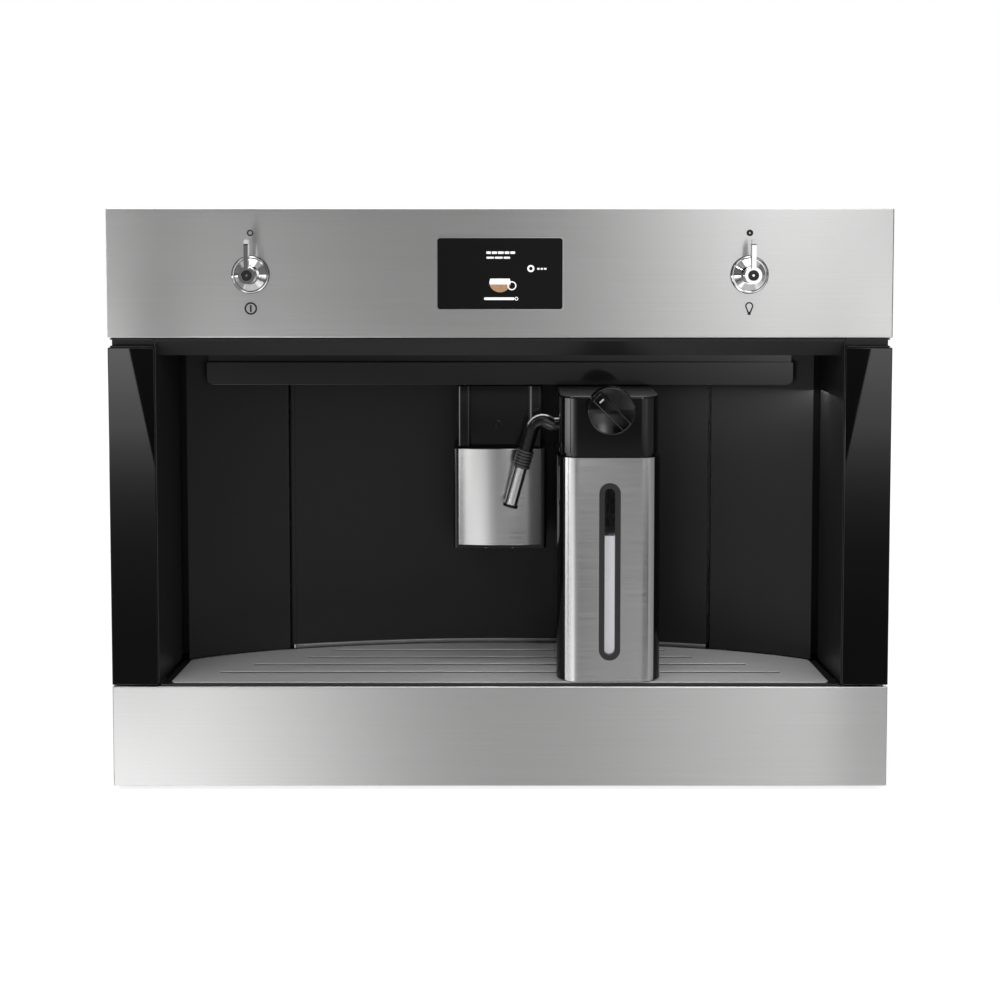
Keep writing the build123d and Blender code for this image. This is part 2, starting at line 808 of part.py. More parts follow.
def door():
    """Service door: curved panel with its hinge barrel, carrier, spout guide and dock."""
    z = (door_foot, bridge_bottom - door_top_gap)
    edge = door_half_width
    front = ThreePointArc((hinge_x, wall_y(hinge_x)), (0, wall_depth), (edge, wall_y(edge)))
    panel = upright(thick(front, wall_sheet), z) + bar_z(hinge_x, hinge_y, z, hinge_barrel_radius)
    panel = panel - bar_z(hinge_x, hinge_y, (z[0] - cut, z[1] + cut), hinge_pin_radius + pin_clearance)
    save("door_panel", panel)

    half = door_half_width - carrier_side_gap
    carrier_z = (z[0] + carrier_end_gap, z[1] - carrier_end_gap)
    back = wall_depth + wall_sheet + carrier_depth
    carrier = behind_wall(wall_sheet, carrier_z) & block((-half, half), (0, back), carrier_z)
    hollow_z = (carrier_z[0] + carrier_rim, carrier_z[1] - carrier_rim)
    for x in ((-half + carrier_rim, -carrier_rim / 2), (carrier_rim / 2, half - carrier_rim)):
        carrier = carrier - block(x, (0, back + cut), hollow_z)
    save("door_carrier", carrier)

    guide_z = (guide_bottom, z[1])
    column_x = (guide_half_width - guide_column, guide_half_width)
    column = block(column_x, (guide_front, bulkhead_y), guide_z)
    column = fillet(column.edges().filter_by(Axis.Z).group_by(Axis.Y)[0], guide_corner)
    slot_half = rib_width / 2 + slide_clearance
    slot_x = (guide_half_width - rib_height - slide_clearance, guide_half_width + cut)
    cut_z = (guide_z[0] - cut, guide_z[1] + cut)
    column = column - block(slot_x, (rib_y - slot_half, rib_y + slot_half), cut_z)
    panel_y = (guide_front + guide_recess, guide_front + guide_recess + guide_sheet)
    middle = block((-column_x[0], column_x[0]), panel_y, guide_z)
    mark_ring = Circle(guide_mark_radius) - Circle(guide_mark_radius - guide_mark_stroke)
    mark_ring = Pos(guide_mark_x, bridge_bottom - guide_mark_drop) * mark_ring
    mark = through(mark_ring, (0, panel_y[0] + guide_mark_depth))
    guide = column + mirrored(column) + middle - mark
    save("spout_guide", guide - behind_wall(0, cut_z))

    dock_x = (carafe_x - dock_half_width, carafe_x + dock_half_width)
    dock = block(dock_x, (carafe_back + dock_clearance, bulkhead_y), dock_z)
    plug_z = (dock_z[0] + dock_z[1]) / 2
    socket_y = (carafe_back, carafe_back + plug_length + dock_clearance)
    dock = dock - behind_wall(0, (dock_z[0] - cut, dock_z[1] + cut))
    save("carafe_dock", dock - bar_y(carafe_x, socket_y, plug_z, plug_radius + slide_clearance))


def spout():
    """Height-adjustable coffee spout: carriage, steel front and two nozzles."""
    half = carriage_half_width
    z = (carriage_bottom, carriage_top)
    body = block((-half, half), (carriage_front, carriage_back), z)
    body = fillet(body.edges().filter_by(Axis.Z).group_by(Axis.Y)[0], carriage_corner)
    inside = guide_half_width + slide_clearance
    cavity_y = (carriage_front + carriage_wall, carriage_back + cut)
    body = body - block((-inside, inside), cavity_y, (z[0] + carriage_floor, z[1] + cut))
    rib = block(
        (guide_half_width - rib_height, (inside + half) / 2),
        (rib_y - rib_width / 2, rib_y + rib_width / 2),
        (guide_bottom + slide_clearance, z[1]),
    )
    body = body + rib + mirrored(rib)
    nozzles = []
    for x in (-nozzle_x, nozzle_x):
        hole_z = (z[0] - cut, z[0] + carriage_floor + cut)
        body = body - bar_z(x, nozzle_y, hole_z, nozzle_radius + pin_clearance)
        low = z[0] - nozzle_drop
        nozzle = bar_z(x, nozzle_y, (low, low + nozzle_length), nozzle_radius)
        collar_z = (z[0] + carriage_floor, z[0] + carriage_floor + nozzle_collar)
        nozzle = nozzle + bar_z(x, nozzle_y, collar_z, nozzle_radius + nozzle_collar)
        nozzles.append(nozzle - bar_z(x, nozzle_y, (low - cut, low + nozzle_length + cut), nozzle_bore))
    save("spout_body", body)
    save("coffee_nozzles", *nozzles)

    edge = carriage_half_width - spout_plate_side_gap
    plate_front = carriage_front - spout_plate_edge
    left, right = (-edge, plate_front), (edge, plate_front)
    bulge = ThreePointArc(left, (0, plate_front - spout_plate_bulge), right)
    back = Polyline(right, (edge, carriage_front), (-edge, carriage_front), left)
    plate = upright(make_face([bulge, back]), (z[0] + spout_plate_foot, z[1]))
    save("spout_front_plate", plate)


def carafe_plan(inset):
    """The carafe's outline in plan, drawn in by inset."""
    outline = Rectangle(carafe_width - 2 * inset, carafe_back - carafe_front - 2 * inset)
    outline = fillet(outline.vertices().group_by(Axis.Y)[0], carafe_front_radius - inset)
    back_radius = max(carafe_back_radius - inset, carafe_back_radius / 6)
    outline = fillet(outline.vertices().group_by(Axis.Y)[-1], back_radius)
    return Pos(carafe_x, carafe_middle) * outline


def stadium(width, height):
    """An upright slot outline with round ends."""
    return Rot(0, 0, 90) * SlotOverall(height, width)


def carafe():
    """Milk carafe: vessel, steel front, window, lid, intake tube and froth dial."""
    z = (carafe_bottom, carafe_top)
    outer = upright(carafe_plan(0), z)
    plate_half = carafe_width / 2 - plate_side_gap
    plate_x = (carafe_x - plate_half, carafe_x + plate_half)
    plate = outer - upright(carafe_plan(plate_sheet), z)
    plate = plate & block(plate_x, (0, carafe_front + plate_wrap), z)
    body = outer - plate - upright(carafe_plan(carafe_wall), (z[0] + carafe_wall, z[1] + cut))
    window_height = z[1] - z[0] - window_foot_gap - window_head_gap
    centre = Pos(carafe_x, z[0] + window_foot_gap + window_height / 2)
    opening = through(centre * stadium(window_width, window_height), (0, carafe_front + 2 * carafe_wall))
    body = body - opening
    plate = plate - opening
    frame_y_limits = (carafe_front - window_proud, carafe_front - window_proud + window_frame_depth)
    slot_height = window_height - (window_width - window_slot_width)
    slot = through(centre * stadium(window_slot_width, slot_height), (0, carafe_middle))
    frame = through(centre * stadium(window_width, window_height), frame_y_limits) - slot
    lens_y = (frame_y_limits[1] - window_lens_depth, frame_y_limits[1])
    lens = through(centre * stadium(window_slot_width, slot_height), lens_y)
    save("carafe_body", body)
    save("carafe_front_plate", plate)
    save("window_frame", frame)
    save("window_lens", lens)

    head = upright(carafe_plan(lid_inset), (lid_bottom, lid_top))
    head = fillet(head.faces().sort_by(Axis.Z)[-1].edges(), lid_edge_radius)
    neck = upright(carafe_plan(lid_neck_inset), (carafe_top, lid_bottom))
    plug_inset = carafe_wall + slide_clearance
    plug = upright(carafe_plan(plug_inset), (carafe_top - lid_plug_depth, carafe_top))
    pocket_z = (carafe_top - lid_plug_depth - cut, lid_top - lid_roof)
    lid = head + neck + plug - upright(carafe_plan(lid_wall), pocket_z)
    dial_bore_y = (0, lid_front + dial_shaft_length + shadow_gap)
    lid = lid - bar_y(carafe_x, dial_bore_y, dial_z, dial_shaft_radius + pin_clearance)
    bore_x = (lid_side - cut, lid_side + milk_insert + shadow_gap)
    lid = lid - bar_x(bore_x, milk_pivot_y, milk_pivot_z, milk_tube_radius + pin_clearance)
    plug_z = (dock_z[0] + dock_z[1]) / 2
    spigot = bar_y(carafe_x, (carafe_back - lid_inset, carafe_back + plug_length), plug_z, plug_radius)
    save("carafe_lid", lid + spigot)

    foot = carafe_bottom + carafe_wall + intake_foot
    head = lid_top - lid_roof
    intake = bar_z(carafe_x, carafe_middle, (foot, head), intake_radius)
    bore_z = (foot - cut, head - carafe_wall)
    bore = bar_z(carafe_x, carafe_middle, bore_z, intake_radius - intake_wall)
    save("intake_tube", intake - bore)

    dial_back = lid_front - dial_gap
    rim_front = dial_back - dial_depth
    dial = bar_y(carafe_x, (rim_front, dial_back), dial_z, dial_radius)
    dial = fillet(dial.faces().sort_by(Axis.Y)[0].edges(), dial_edge)
    groove_y = (rim_front + dial_groove_ends[0], dial_back - dial_groove_ends[1])
    for step in range(dial_grooves):
        angle = radians(360 / dial_grooves * step)
        groove_x = carafe_x + (dial_radius + dial_gap) * cos(angle)
        groove_z = dial_z + (dial_radius + dial_gap) * sin(angle)
        dial = dial - bar_y(groove_x, groove_y, groove_z, dial_groove_radius)
    grip = Box(2 * (dial_radius - dial_grip_inset), dial_grip_depth, dial_grip_width)
    grip = fillet(grip.faces().sort_by(Axis.Y)[0].edges(), dial_grip_edge)
    grip = Pos(carafe_x, rim_front - dial_grip_depth / 2, dial_z) * Rot(0, dial_grip_angle, 0) * grip
    shaft = bar_y(carafe_x, (dial_back, lid_front + dial_shaft_length), dial_z, dial_shaft_radius)
    save("froth_dial", dial + grip + shaft)


def milk_spout():
    """Bent milk tube, ribbed rubber sleeve and steel tip, all on one leaning line."""
    lean = radians(milk_lean)

    def on_line(distance):
        """A point that far down the leaning line from the elbow."""
        return (milk_elbow_x - distance * sin(lean), milk_pivot_y, milk_elbow_z - distance * cos(lean))

    sleeve_middle = sleeve_start + sleeve_length / 2
    start = (lid_side + milk_insert, milk_pivot_y, milk_pivot_z)
    bend = (lid_side - milk_leg, milk_pivot_y, milk_pivot_z)
    elbow = (milk_elbow_x, milk_pivot_y, milk_elbow_z)
    bend_radii = [milk_bend_start, milk_bend_radius]
    path = FilletPolyline(start, bend, elbow, on_line(sleeve_middle), radius=bend_radii)
    ring = Circle(milk_tube_radius) - Circle(milk_bore)
    save("milk_tube", sweep(Plane(origin=start, x_dir=(0, 1, 0), z_dir=(-1, 0, 0)) * ring, path=path))

    down = Plane(origin=on_line(0), x_dir=(0, 1, 0), z_dir=(-sin(lean), 0, -cos(lean)))

    def ring_along(start_at, length, outer, bore):
        """A round sleeve on the leaning line."""
        return extrude(down.offset(start_at) * (Circle(outer) - Circle(bore)), length, dir=down.z_dir)

    tube_seat = milk_tube_radius + pin_clearance
    tip_seat = tip_radius + pin_clearance
    sleeve = ring_along(sleeve_start, sleeve_length / 2, sleeve_valley, tube_seat)
    sleeve = sleeve + ring_along(sleeve_middle, sleeve_length / 2, sleeve_valley, tip_seat)
    pitch = sleeve_length / sleeve_ribs
    for rib in range(sleeve_ribs):
        at = sleeve_start + rib * pitch + pitch / 4
        sleeve = sleeve + ring_along(at, pitch / 2, sleeve_radius, (sleeve_valley + tube_seat) / 2)
    save("milk_sleeve", sleeve)

    tip_start = sleeve_middle + shadow_gap
    tip_end = sleeve_start + sleeve_length + tip_length
    tip = ring_along(tip_start, tip_end - tip_start, tip_radius, milk_bore)
    tip = tip + ring_along(tip_end, tip_ring_length, tip_ring_radius, milk_bore)
    save("milk_tip", tip)


def drawer():
    """Lower bar with the drip tray, cup grid and grounds container behind it."""
    save("lower_fascia", steel_bar((0, lower_bar_height)))

    grid_low = tray_top - grid_sheet
    rim_low = grid_low - rim_sheet
    plate_half = frame_opening_half - rim_side_gap
    plate_y = (bar_depth, bar_depth + drawer_wall)
    face_plate = block((-plate_half, plate_half), plate_y, (drawer_bottom, rim_low - rim_side_gap))
    tray_x = (-drawer_half_width, drawer_half_width)
    tray = tub(tray_x, (bar_depth, drawer_back), (drawer_bottom, tub_bottom), drawer_wall)
    save("drawer_frame", face_plate + tray)

    back = bulkhead_y
    front_half = niche_half_width - rim_side_gap
    back_half = niche_half_width - reveal_taper - rim_back_side_gap
    end_half = wall_end_x - rim_side_gap
    rim = make_face(Polyline(
        (-front_half, rim_front), (front_half, rim_front), (back_half, reveal_depth),
        (end_half, reveal_depth), (end_half, back), (-end_half, back),
        (-end_half, reveal_depth), (-back_half, reveal_depth), close=True,
    ))
    wall_cut = behind_wall(-grid_wall_gap, (0, tray_top + cut))
    rim = upright(rim, (rim_low, grid_low)) - wall_cut
    well_x = (-tub_half_width, tub_half_width)
    well_y = (bar_depth + tub_front_gap, hinge_y - hinge_pin_radius - tub_back_gap)
    well = block(well_x, well_y, (tub_bottom, grid_low))
    inside = block(
        (well_x[0] + tub_wall, well_x[1] - tub_wall),
        (well_y[0] + tub_wall, well_y[1] - tub_wall),
        (tub_bottom + tub_wall, tray_top),
    )
    save("drip_tray", rim + well - inside)

    front_half = niche_half_width - grid_side_gap
    back_half = front_half - 2 * reveal_taper
    outline = make_face(Polyline(
        (-front_half, grid_front), (front_half, grid_front), (back_half, back), (-back_half, back),
        close=True,
    ))
    grid = upright(outline, (grid_low, tray_top)) - wall_cut
    corners = grid.edges().filter_by(Axis.Z)
    corners = [edge for edge in corners if abs(edge.center().X) > (side_panel_start + back_half) / 2]
    grid = fillet(corners, grid_corner)
    for wall_gap, side_gap in zip(slot_wall_gaps, slot_side_gaps):
        slot = Pos(0, wall_depth - wall_gap) * SlotOverall(2 * (front_half - side_gap), slot_width)
        grid = grid - upright(slot, (grid_low - cut, tray_top + cut))
    save("cup_grid", grid)

    half = grounds_half_width
    grounds_back = drawer_back - grounds_back_gap
    grounds_y = (grounds_back - grounds_length, grounds_back)
    grounds_z = (drawer_bottom + drawer_wall, grounds_top)
    save("grounds_container", tub((-half, half), grounds_y, grounds_z, grounds_wall))


def grinder():
    """Bean hopper with its lid, the grinder with its burr, and the motor below."""
    motor_top = shelf_top + motor_height
    centre = (grinder_x, grinder_y)
    motor = bar_z(*centre, (shelf_top, motor_top), motor_radius)
    shaft_bore = burr_shaft_radius + pin_clearance
    motor = motor - bar_z(*centre, (motor_top - motor_bore_depth, motor_top + cut), shaft_bore)
    save("grinder_motor", motor)

    top = motor_top + grinder_height
    housing = bar_z(*centre, (motor_top, top), grinder_radius)
    chute_z = (motor_top + grinder_floor, motor_top + grinder_floor + chute_height)
    chute_y = (grinder_y - grinder_radius - chute_width / 2, grinder_y - grinder_radius + chute_width / 2)
    chute_x = (brew_x + chamber_bore - chute_width, grinder_x)
    chute = block(chute_x, chute_y, chute_z)
    housing = housing + chute
    cavity = bar_z(*centre, (motor_top + grinder_floor, top - grinder_floor), grinder_cavity_radius)
    shaft_hole_z = (motor_top - cut, motor_top + grinder_floor + cut)
    shaft_hole = bar_z(*centre, shaft_hole_z, burr_shaft_radius + burr_shaft_gap)
    mouth = bar_z(*centre, (top - grinder_floor - cut, top + cut), grinder_mouth_radius)
    save("grinder_housing", housing - cavity - shaft_hole - mouth)

    burr_low = motor_top + burr_lift
    burr = Pos(*centre, burr_low + burr_height / 2) * Cone(burr_radius, burr_top_radius, burr_height)
    shaft_low = motor_top - motor_bore_depth + shadow_gap
    save("grinder_burr", burr + bar_z(*centre, (shaft_low, burr_low + cut), burr_shaft_radius))

    x = (grinder_x - hopper_half_width, grinder_x + hopper_half_width)
    y = (grinder_y - hopper_half_depth, grinder_y + hopper_half_depth)
    mouth = Rectangle(2 * (hopper_half_width - hopper_wall), 2 * (hopper_half_depth - hopper_wall))
    funnel_top = Pos(*centre, cover_bottom) * mouth
    funnel_foot = Pos(*centre, top) * Circle(grinder_mouth_radius)
    funnel = loft([funnel_foot, funnel_top])
    save("bean_hopper", block(x, y, (top, cover_bottom)) - funnel)

    lid_low = chassis_top + shadow_gap
    lid_x = (x[0] + hopper_lid_inset, x[1] - hopper_lid_inset)
    lid_y = (y[0] + hopper_lid_inset, y[1] - hopper_lid_back)
    lid = block(lid_x, lid_y, (lid_low, lid_low + hopper_lid_height))
    lid = fillet(lid.edges().filter_by(Axis.Z), hopper_lid_corner)
    lid = fillet(lid.faces().sort_by(Axis.Z)[-1].edges(), hopper_lid_edge)
    barrel_x = (grinder_x - lid_hinge_half, grinder_x + lid_hinge_half)
    barrel = bar_x(barrel_x, lid_hinge_y, lid_hinge_z, lid_hinge_radius)
    web_y = (lid_y[1] - hopper_lid_web, lid_hinge_y)
    lid = lid + barrel + block(barrel_x, web_y, (lid_low + hopper_lid_step, lid_hinge_z))
    bore_x = (barrel_x[0] - cut, barrel_x[1] + cut)
    bore = bar_x(bore_x, lid_hinge_y, lid_hinge_z, hinge_pin_radius + pin_clearance)
    save("hopper_lid", lid - bore)


def brewing():
    """Brewing frame with its chamber, and the piston that presses the coffee."""
    x = (brew_x - brew_half_width, brew_x + brew_half_width)
    y = (brew_y - brew_half_depth, brew_y + brew_half_depth)
    post_y = (brew_y - brew_post, brew_y + brew_post)
    top = cover_bottom - brew_top_gap - piston_cap - piston_travel - brew_post
    frame = block(x, y, (shelf_top, shelf_top + brew_base))
    for post_x in ((x[0], x[0] + brew_post), (x[1] - brew_post, x[1])):
        frame = frame + block(post_x, post_y, (shelf_top, top))
    frame = frame + block(x, post_y, (top, top + brew_post))
    chamber_top = shelf_top + chamber_height
    frame = frame + bar_z(brew_x, brew_y, (shelf_top, chamber_top), chamber_radius)
    frame = frame - bar_z(brew_x, brew_y, (shelf_top - cut, chamber_top + cut), chamber_bore)
    rod_bore = piston_rod_radius + pin_clearance
    save("brew_frame", frame - bar_z(brew_x, brew_y, (top - cut, top + brew_post + cut), rod_bore))

    piston_low = chamber_top + piston_lift
    piston = bar_z(brew_x, brew_y, (piston_low, piston_low + piston_height), piston_radius)
    rod_top = top + brew_post + piston_travel
    rod = bar_z(brew_x, brew_y, (piston_low + piston_height, rod_top), piston_rod_radius)
    cap = bar_z(brew_x, brew_y, (rod_top, rod_top + piston_cap), piston_cap_radius)
    save("brew_piston", piston + rod + cap)


def inlet_plan():
    """Limits of the mains inlet in x and in z."""
    x = chassis_half_width - inlet_side_gap
    half_width, half_height = inlet_width / 2, inlet_height / 2
    return (x - half_width, x + half_width), (inlet_z - half_height, inlet_z + half_height)


def tank_plan():
    """Limits of the water tank in x and in y."""
    front = bulkhead_y + bulkhead_sheet + tank_front_gap
    return (tank_side_gap - chassis_half_width, tank_right), (front, front + tank_length)


def water_and_power():
    """Water tank, pump, heater, hoses, control board and the mains inlet."""
    x, y = tank_plan()
    tank = tub(x, y, (shelf_top + shadow_gap, chassis_top), tank_wall)
    middle = (x[0] + x[1]) / 2
    grip_x = (middle - tank_grip_width / 2, middle + tank_grip_width / 2)
    grip_z = (chassis_top - tank_grip_depth, chassis_top - tank_grip_depth + tank_grip_height)
    tank = tank + block(grip_x, (y[0] + tank_wall, y[1] - tank_wall), grip_z)
    save("water_tank", tank)

    half_x, half_y = heater_half_width, heater_half_depth
    heater_x_limits = (heater_x - half_x, heater_x + half_x)
    heater_y_limits = (heater_y - half_y, heater_y + half_y)
    heater = block(heater_x_limits, heater_y_limits, (shelf_top, shelf_top + heater_height))
    pitch = 2 * half_y / heater_fins
    for fin in range(heater_fins):
        low = heater_y - half_y + (fin + 0.5) * pitch - pitch / 4
        fin_z = (shelf_top + heater_height - heater_fin_depth, shelf_top + heater_height + cut)
        heater = heater - block(heater_x_limits, (low, low + pitch / 2), fin_z)
    save("thermoblock", heater)

    pump_z = shelf_top + pump_lift
    half = pump_length / 2
    pump = bar_y(pump_x, (pump_y - half, pump_y + half), pump_z, pump_radius)
    foot_x = (pump_x - pump_foot_half_width, pump_x + pump_foot_half_width)
    foot_y = (pump_y - half + pump_foot_inset, pump_y + half - pump_foot_inset)
    foot = block(foot_x, foot_y, (shelf_top, pump_z))
    save("pump", pump + foot)

    low = heater_y - half_y
    hose_z = shelf_top + heater_height / 2
    heater_hose = bar_y(pump_x, (pump_y + half, low), pump_z, hose_radius)
    post_x = brew_x - brew_half_width
    feed_start = (heater_x + half_x, heater_y, hose_z)
    feed_middle = ((heater_x + half_x + post_x) / 2, heater_y, hose_z)
    feed_turn = (feed_middle[0], brew_y, hose_z)
    feed_end = (post_x, brew_y, hose_z)
    path = FilletPolyline(feed_start, feed_middle, feed_turn, feed_end, radius=hose_bend)
    feed = sweep(Plane(origin=feed_start, z_dir=(1, 0, 0)) * Circle(hose_radius), path=path)
    suction = bar_x((tank_right, pump_x - pump_radius), pump_y, pump_z, hose_radius)
    save("water_hoses", heater_hose, feed, suction)

    inside_back = chassis_back - chassis_sheet
    board_y = (inside_back - board_standoff - board_sheet, inside_back - board_standoff)
    board_x_limits = (board_x - board_half_width, board_x + board_half_width)
    board_z = (board_bottom, board_bottom + board_height)
    board = block(board_x_limits, board_y, board_z)
    post_x = (board_x_limits[0] + board_post_inset, board_x_limits[1] - board_post_inset)
    post_z = (board_z[0] + board_post_inset, board_z[1] - board_post_inset)
    for x, z in product(post_x, post_z):
        board = board + bar_y(x, (board_y[1], inside_back), z, board_post_radius)
    part_low = board_bottom + board_part_rise
    for x, depth in zip(board_part_places, board_part_depths):
        part_x = (board_x + x - board_part_half_width, board_x + x + board_part_half_width)
        board = board + block(part_x, (board_y[0] - depth, board_y[0]), (part_low, part_low + 2 * depth))
    save("control_board", board)

    x, z = inlet_plan()
    centre = Pos((x[0] + x[1]) / 2, inlet_z)
    inlet = block(x, (chassis_back - inlet_depth, chassis_back), z)
    well = RectangleRounded(inlet_width - 2 * inlet_wall, inlet_height - 2 * inlet_wall, inlet_corner)
    inlet = inlet - through(centre * well, (chassis_back - inlet_well_depth, chassis_back + cut))
    blade_y = (chassis_back - inlet_well_depth - cut, chassis_back - blade_set_back)
    for offset in (-blade_pitch, 0, blade_pitch):
        blade = Pos(offset, 0) * centre * Rectangle(2 * blade_half_width, 2 * blade_half_height)
        inlet = inlet + through(blade, blade_y)
    flange = Rectangle(inlet_width + 2 * inlet_flange, inlet_height + 2 * inlet_flange)
    flange = flange - Rectangle(inlet_width, inlet_height)
    flange = through(centre * flange, (inside_back - inlet_flange_sheet, inside_back))
    save("power_inlet", inlet + flange)


os.makedirs("parts", exist_ok=True)
rails()
chassis()
face()
controls()
niche()
door()
spout()
carafe()
milk_spout()
drawer()
grinder()
brewing()
water_and_power()
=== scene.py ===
"""Finish of a built-in coffee machine: brushed steel, black glass and gloss, display, knobs and carafe."""

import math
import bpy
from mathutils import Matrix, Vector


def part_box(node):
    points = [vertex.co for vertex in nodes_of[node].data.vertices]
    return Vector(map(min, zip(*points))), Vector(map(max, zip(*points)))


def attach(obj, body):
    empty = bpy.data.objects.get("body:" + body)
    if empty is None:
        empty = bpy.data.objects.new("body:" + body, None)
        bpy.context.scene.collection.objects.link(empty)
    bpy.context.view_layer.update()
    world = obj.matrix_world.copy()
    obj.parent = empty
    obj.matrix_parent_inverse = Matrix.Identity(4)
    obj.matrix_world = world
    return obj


bl_info = {
    "name": "Built-in Coffee Machine",
    "version": (1, 0, 0),
    "blender": (4, 5, 0),
    "location": "3D View > Sidebar > Coffee Machine",
    "description": "Dresses the built-in coffee machine and sets up its studio",
    "category": "Object",
}

import bmesh
import bpy
from bpy.props import FloatProperty, FloatVectorProperty, PointerProperty
from bpy.types import Operator, Panel, PropertyGroup
from mathutils import Matrix, Vector

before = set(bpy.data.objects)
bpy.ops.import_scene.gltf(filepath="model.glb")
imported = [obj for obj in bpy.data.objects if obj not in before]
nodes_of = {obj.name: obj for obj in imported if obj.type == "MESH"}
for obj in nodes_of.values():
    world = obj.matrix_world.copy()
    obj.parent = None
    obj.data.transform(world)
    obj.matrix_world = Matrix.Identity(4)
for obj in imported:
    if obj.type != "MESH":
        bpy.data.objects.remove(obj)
MM = 0.001
UP = (0.0, 0.0, 1.0)
FACE_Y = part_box("control_panel")[0].y
FACE_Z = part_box("lower_fascia")[0].z
SPOUT_LEAN = math.radians(15.5)
SPOUT_DOWN = Vector((-math.sin(SPOUT_LEAN), 0.0, -math.cos(SPOUT_LEAN)))


def at(x, y, z):
    """A point from millimetres right of the middle, behind the face and above its lower edge."""
    return Vector((x * MM, FACE_Y + y * MM, FACE_Z + z * MM))


def measured(point):
    """The millimetres of a point right of the middle, behind the face and above its lower edge."""
    return Vector((point.x, point.y - FACE_Y, point.z - FACE_Z)) / MM


def middle_of(name):
    """The middle of a CAD node."""
    return sum(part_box(name), Vector()) / 2


def on_face(x, y, z):
    """Stands a shape drawn flat in millimetres up on the face, its upper side to the front."""
    return Matrix.Translation(at(x, y, z)) @ Matrix.Rotation(math.pi / 2, 4, "X") @ Matrix.Scale(MM, 4)


def on_side(side, y, z):
    """Stands a shape drawn flat in millimetres up on the housing's left (-1) or right (1) side."""
    turn = Matrix(((0, 0, side, 0), (side, 0, 0, 0), (0, 1, 0, 0), (0, 0, 0, 1)))
    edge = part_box("chassis_sides")[1].x / MM
    return Matrix.Translation(at(side * edge, y, z)) @ turn @ Matrix.Scale(MM, 4)


def on_top(x, y):
    """Lays a shape drawn flat in millimetres on the top cover, a sheet on the chassis sides."""
    sheet = 1.2
    top = measured(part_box("chassis_sides")[1]).z + sheet
    return Matrix.Translation(at(x, y, top)) @ Matrix.Scale(MM, 4)


# ---- settings


class SteelSettings(PropertyGroup):
    colour: FloatVectorProperty(
        name="Steel colour", description="Tone of the brushed steel", subtype="COLOR",
        default=(0.6, 0.6, 0.597),
    )
    grain: FloatProperty(name="Grain", description="Depth of the brushing", default=0.06, min=0.0, max=1.0)


class GlossSettings(PropertyGroup):
    colour: FloatVectorProperty(
        name="Gloss colour", description="Tone of the black mouldings", subtype="COLOR",
        default=(0.004, 0.004, 0.004),
    )


class DisplaySettings(PropertyGroup):
    light: FloatVectorProperty(
        name="Lit colour", description="Colour of the lit signs", subtype="COLOR", default=(0.86, 0.86, 0.86)
    )


class CarafeSettings(PropertyGroup):
    milk_level: FloatProperty(
        name="Milk level", description="Height of the milk above the face's lower edge",
        default=0.193, min=0.09, max=0.24, unit="LENGTH",
    )
    milk_colour: FloatVectorProperty(
        name="Milk colour", description="Tone of the milk", subtype="COLOR", default=(0.8, 0.79, 0.81)
    )


class StudioSettings(PropertyGroup):
    lens: FloatProperty(
        name="Lens", description="Focal length", default=52.06, min=10.0, subtype="DISTANCE_CAMERA"
    )
    eye_y: FloatProperty(
        name="Camera distance", description="Place of the camera", default=-1.269, unit="LENGTH"
    )
    eye_z: FloatProperty(
        name="Camera height", description="Height of the camera", default=0.436, unit="LENGTH"
    )
    tilt: FloatProperty(
        name="Tilt", description="How far the camera looks down", default=math.radians(3.05), unit="ROTATION"
    )
    shift: FloatProperty(name="Shift", description="Vertical lens shift", default=-0.2)
    key_power: FloatProperty(
        name="Key light", description="Power of the large lamp", default=14.0, unit="POWER"
    )
    tray_power: FloatProperty(
        name="Tray light", description="Power of the lamp over the tray", default=0.17, unit="POWER"
    )
    fill_power: FloatProperty(
        name="Fill light", description="Power of the second and third lamps", default=8.0, unit="POWER"
    )


GROUPS = (SteelSettings, GlossSettings, DisplaySettings, CarafeSettings, StudioSettings)

# ---- effects

# height of the grain in metres where its strength is 1
GRAIN_DEPTH = 0.0002
DUST_COLOUR = (0.22, 0.215, 0.21, 1.0)


def grey(tone):
    """A grey as a socket takes it."""
    return (tone, tone, tone, 1.0)


def feed(tree, socket, source):
    """Feeds a socket from a node's first output or from another socket, or gives it a plain value."""
    if isinstance(source, bpy.types.Node):
        source = source.outputs[0]
    if isinstance(source, bpy.types.NodeSocket):
        tree.links.new(source, socket)
    else:
        socket.default_value = source


def node(tree, kind, *sources, **values):
    """A shader node: sources feed its inputs in order, values are settings and inputs by name."""
    made = tree.nodes.new("ShaderNode" + kind)
    for key, value in values.items():
        if hasattr(made, key):
            setattr(made, key, value)
        else:
            feed(tree, made.inputs[key.replace("_", " ")], value)
    for socket, source in zip(made.inputs, sources):
        feed(tree, socket, source)
    return made


def own_place(tree):
    """The place on the piece, in its own coordinates."""
    return node(tree, "TexCoord").outputs["Object"]


def mixed(tree, share, before, after, kind="FLOAT"):
    """Runs from one number (FLOAT) or colour (RGBA) to another as the share goes from 0 to 1."""
    made = node(tree, "Mix", share, data_type=kind)
    first, result = (6, 2) if kind == "RGBA" else (2, 0)
    feed(tree, made.inputs[first], before)
    feed(tree, made.inputs[first + 1], after)
    return made.outputs[result]


def ramp(tree, given, stops):
    """A grey that changes with the given value; stops are (position from 0 to 1, tone)."""
    made = node(tree, "ValToRGB", given)
    elements = made.color_ramp.elements
    for index, (position, tone) in enumerate(stops):
        element = elements[index] if index < 2 else elements.new(position)
        element.position = position
        element.color = grey(tone)
    return made


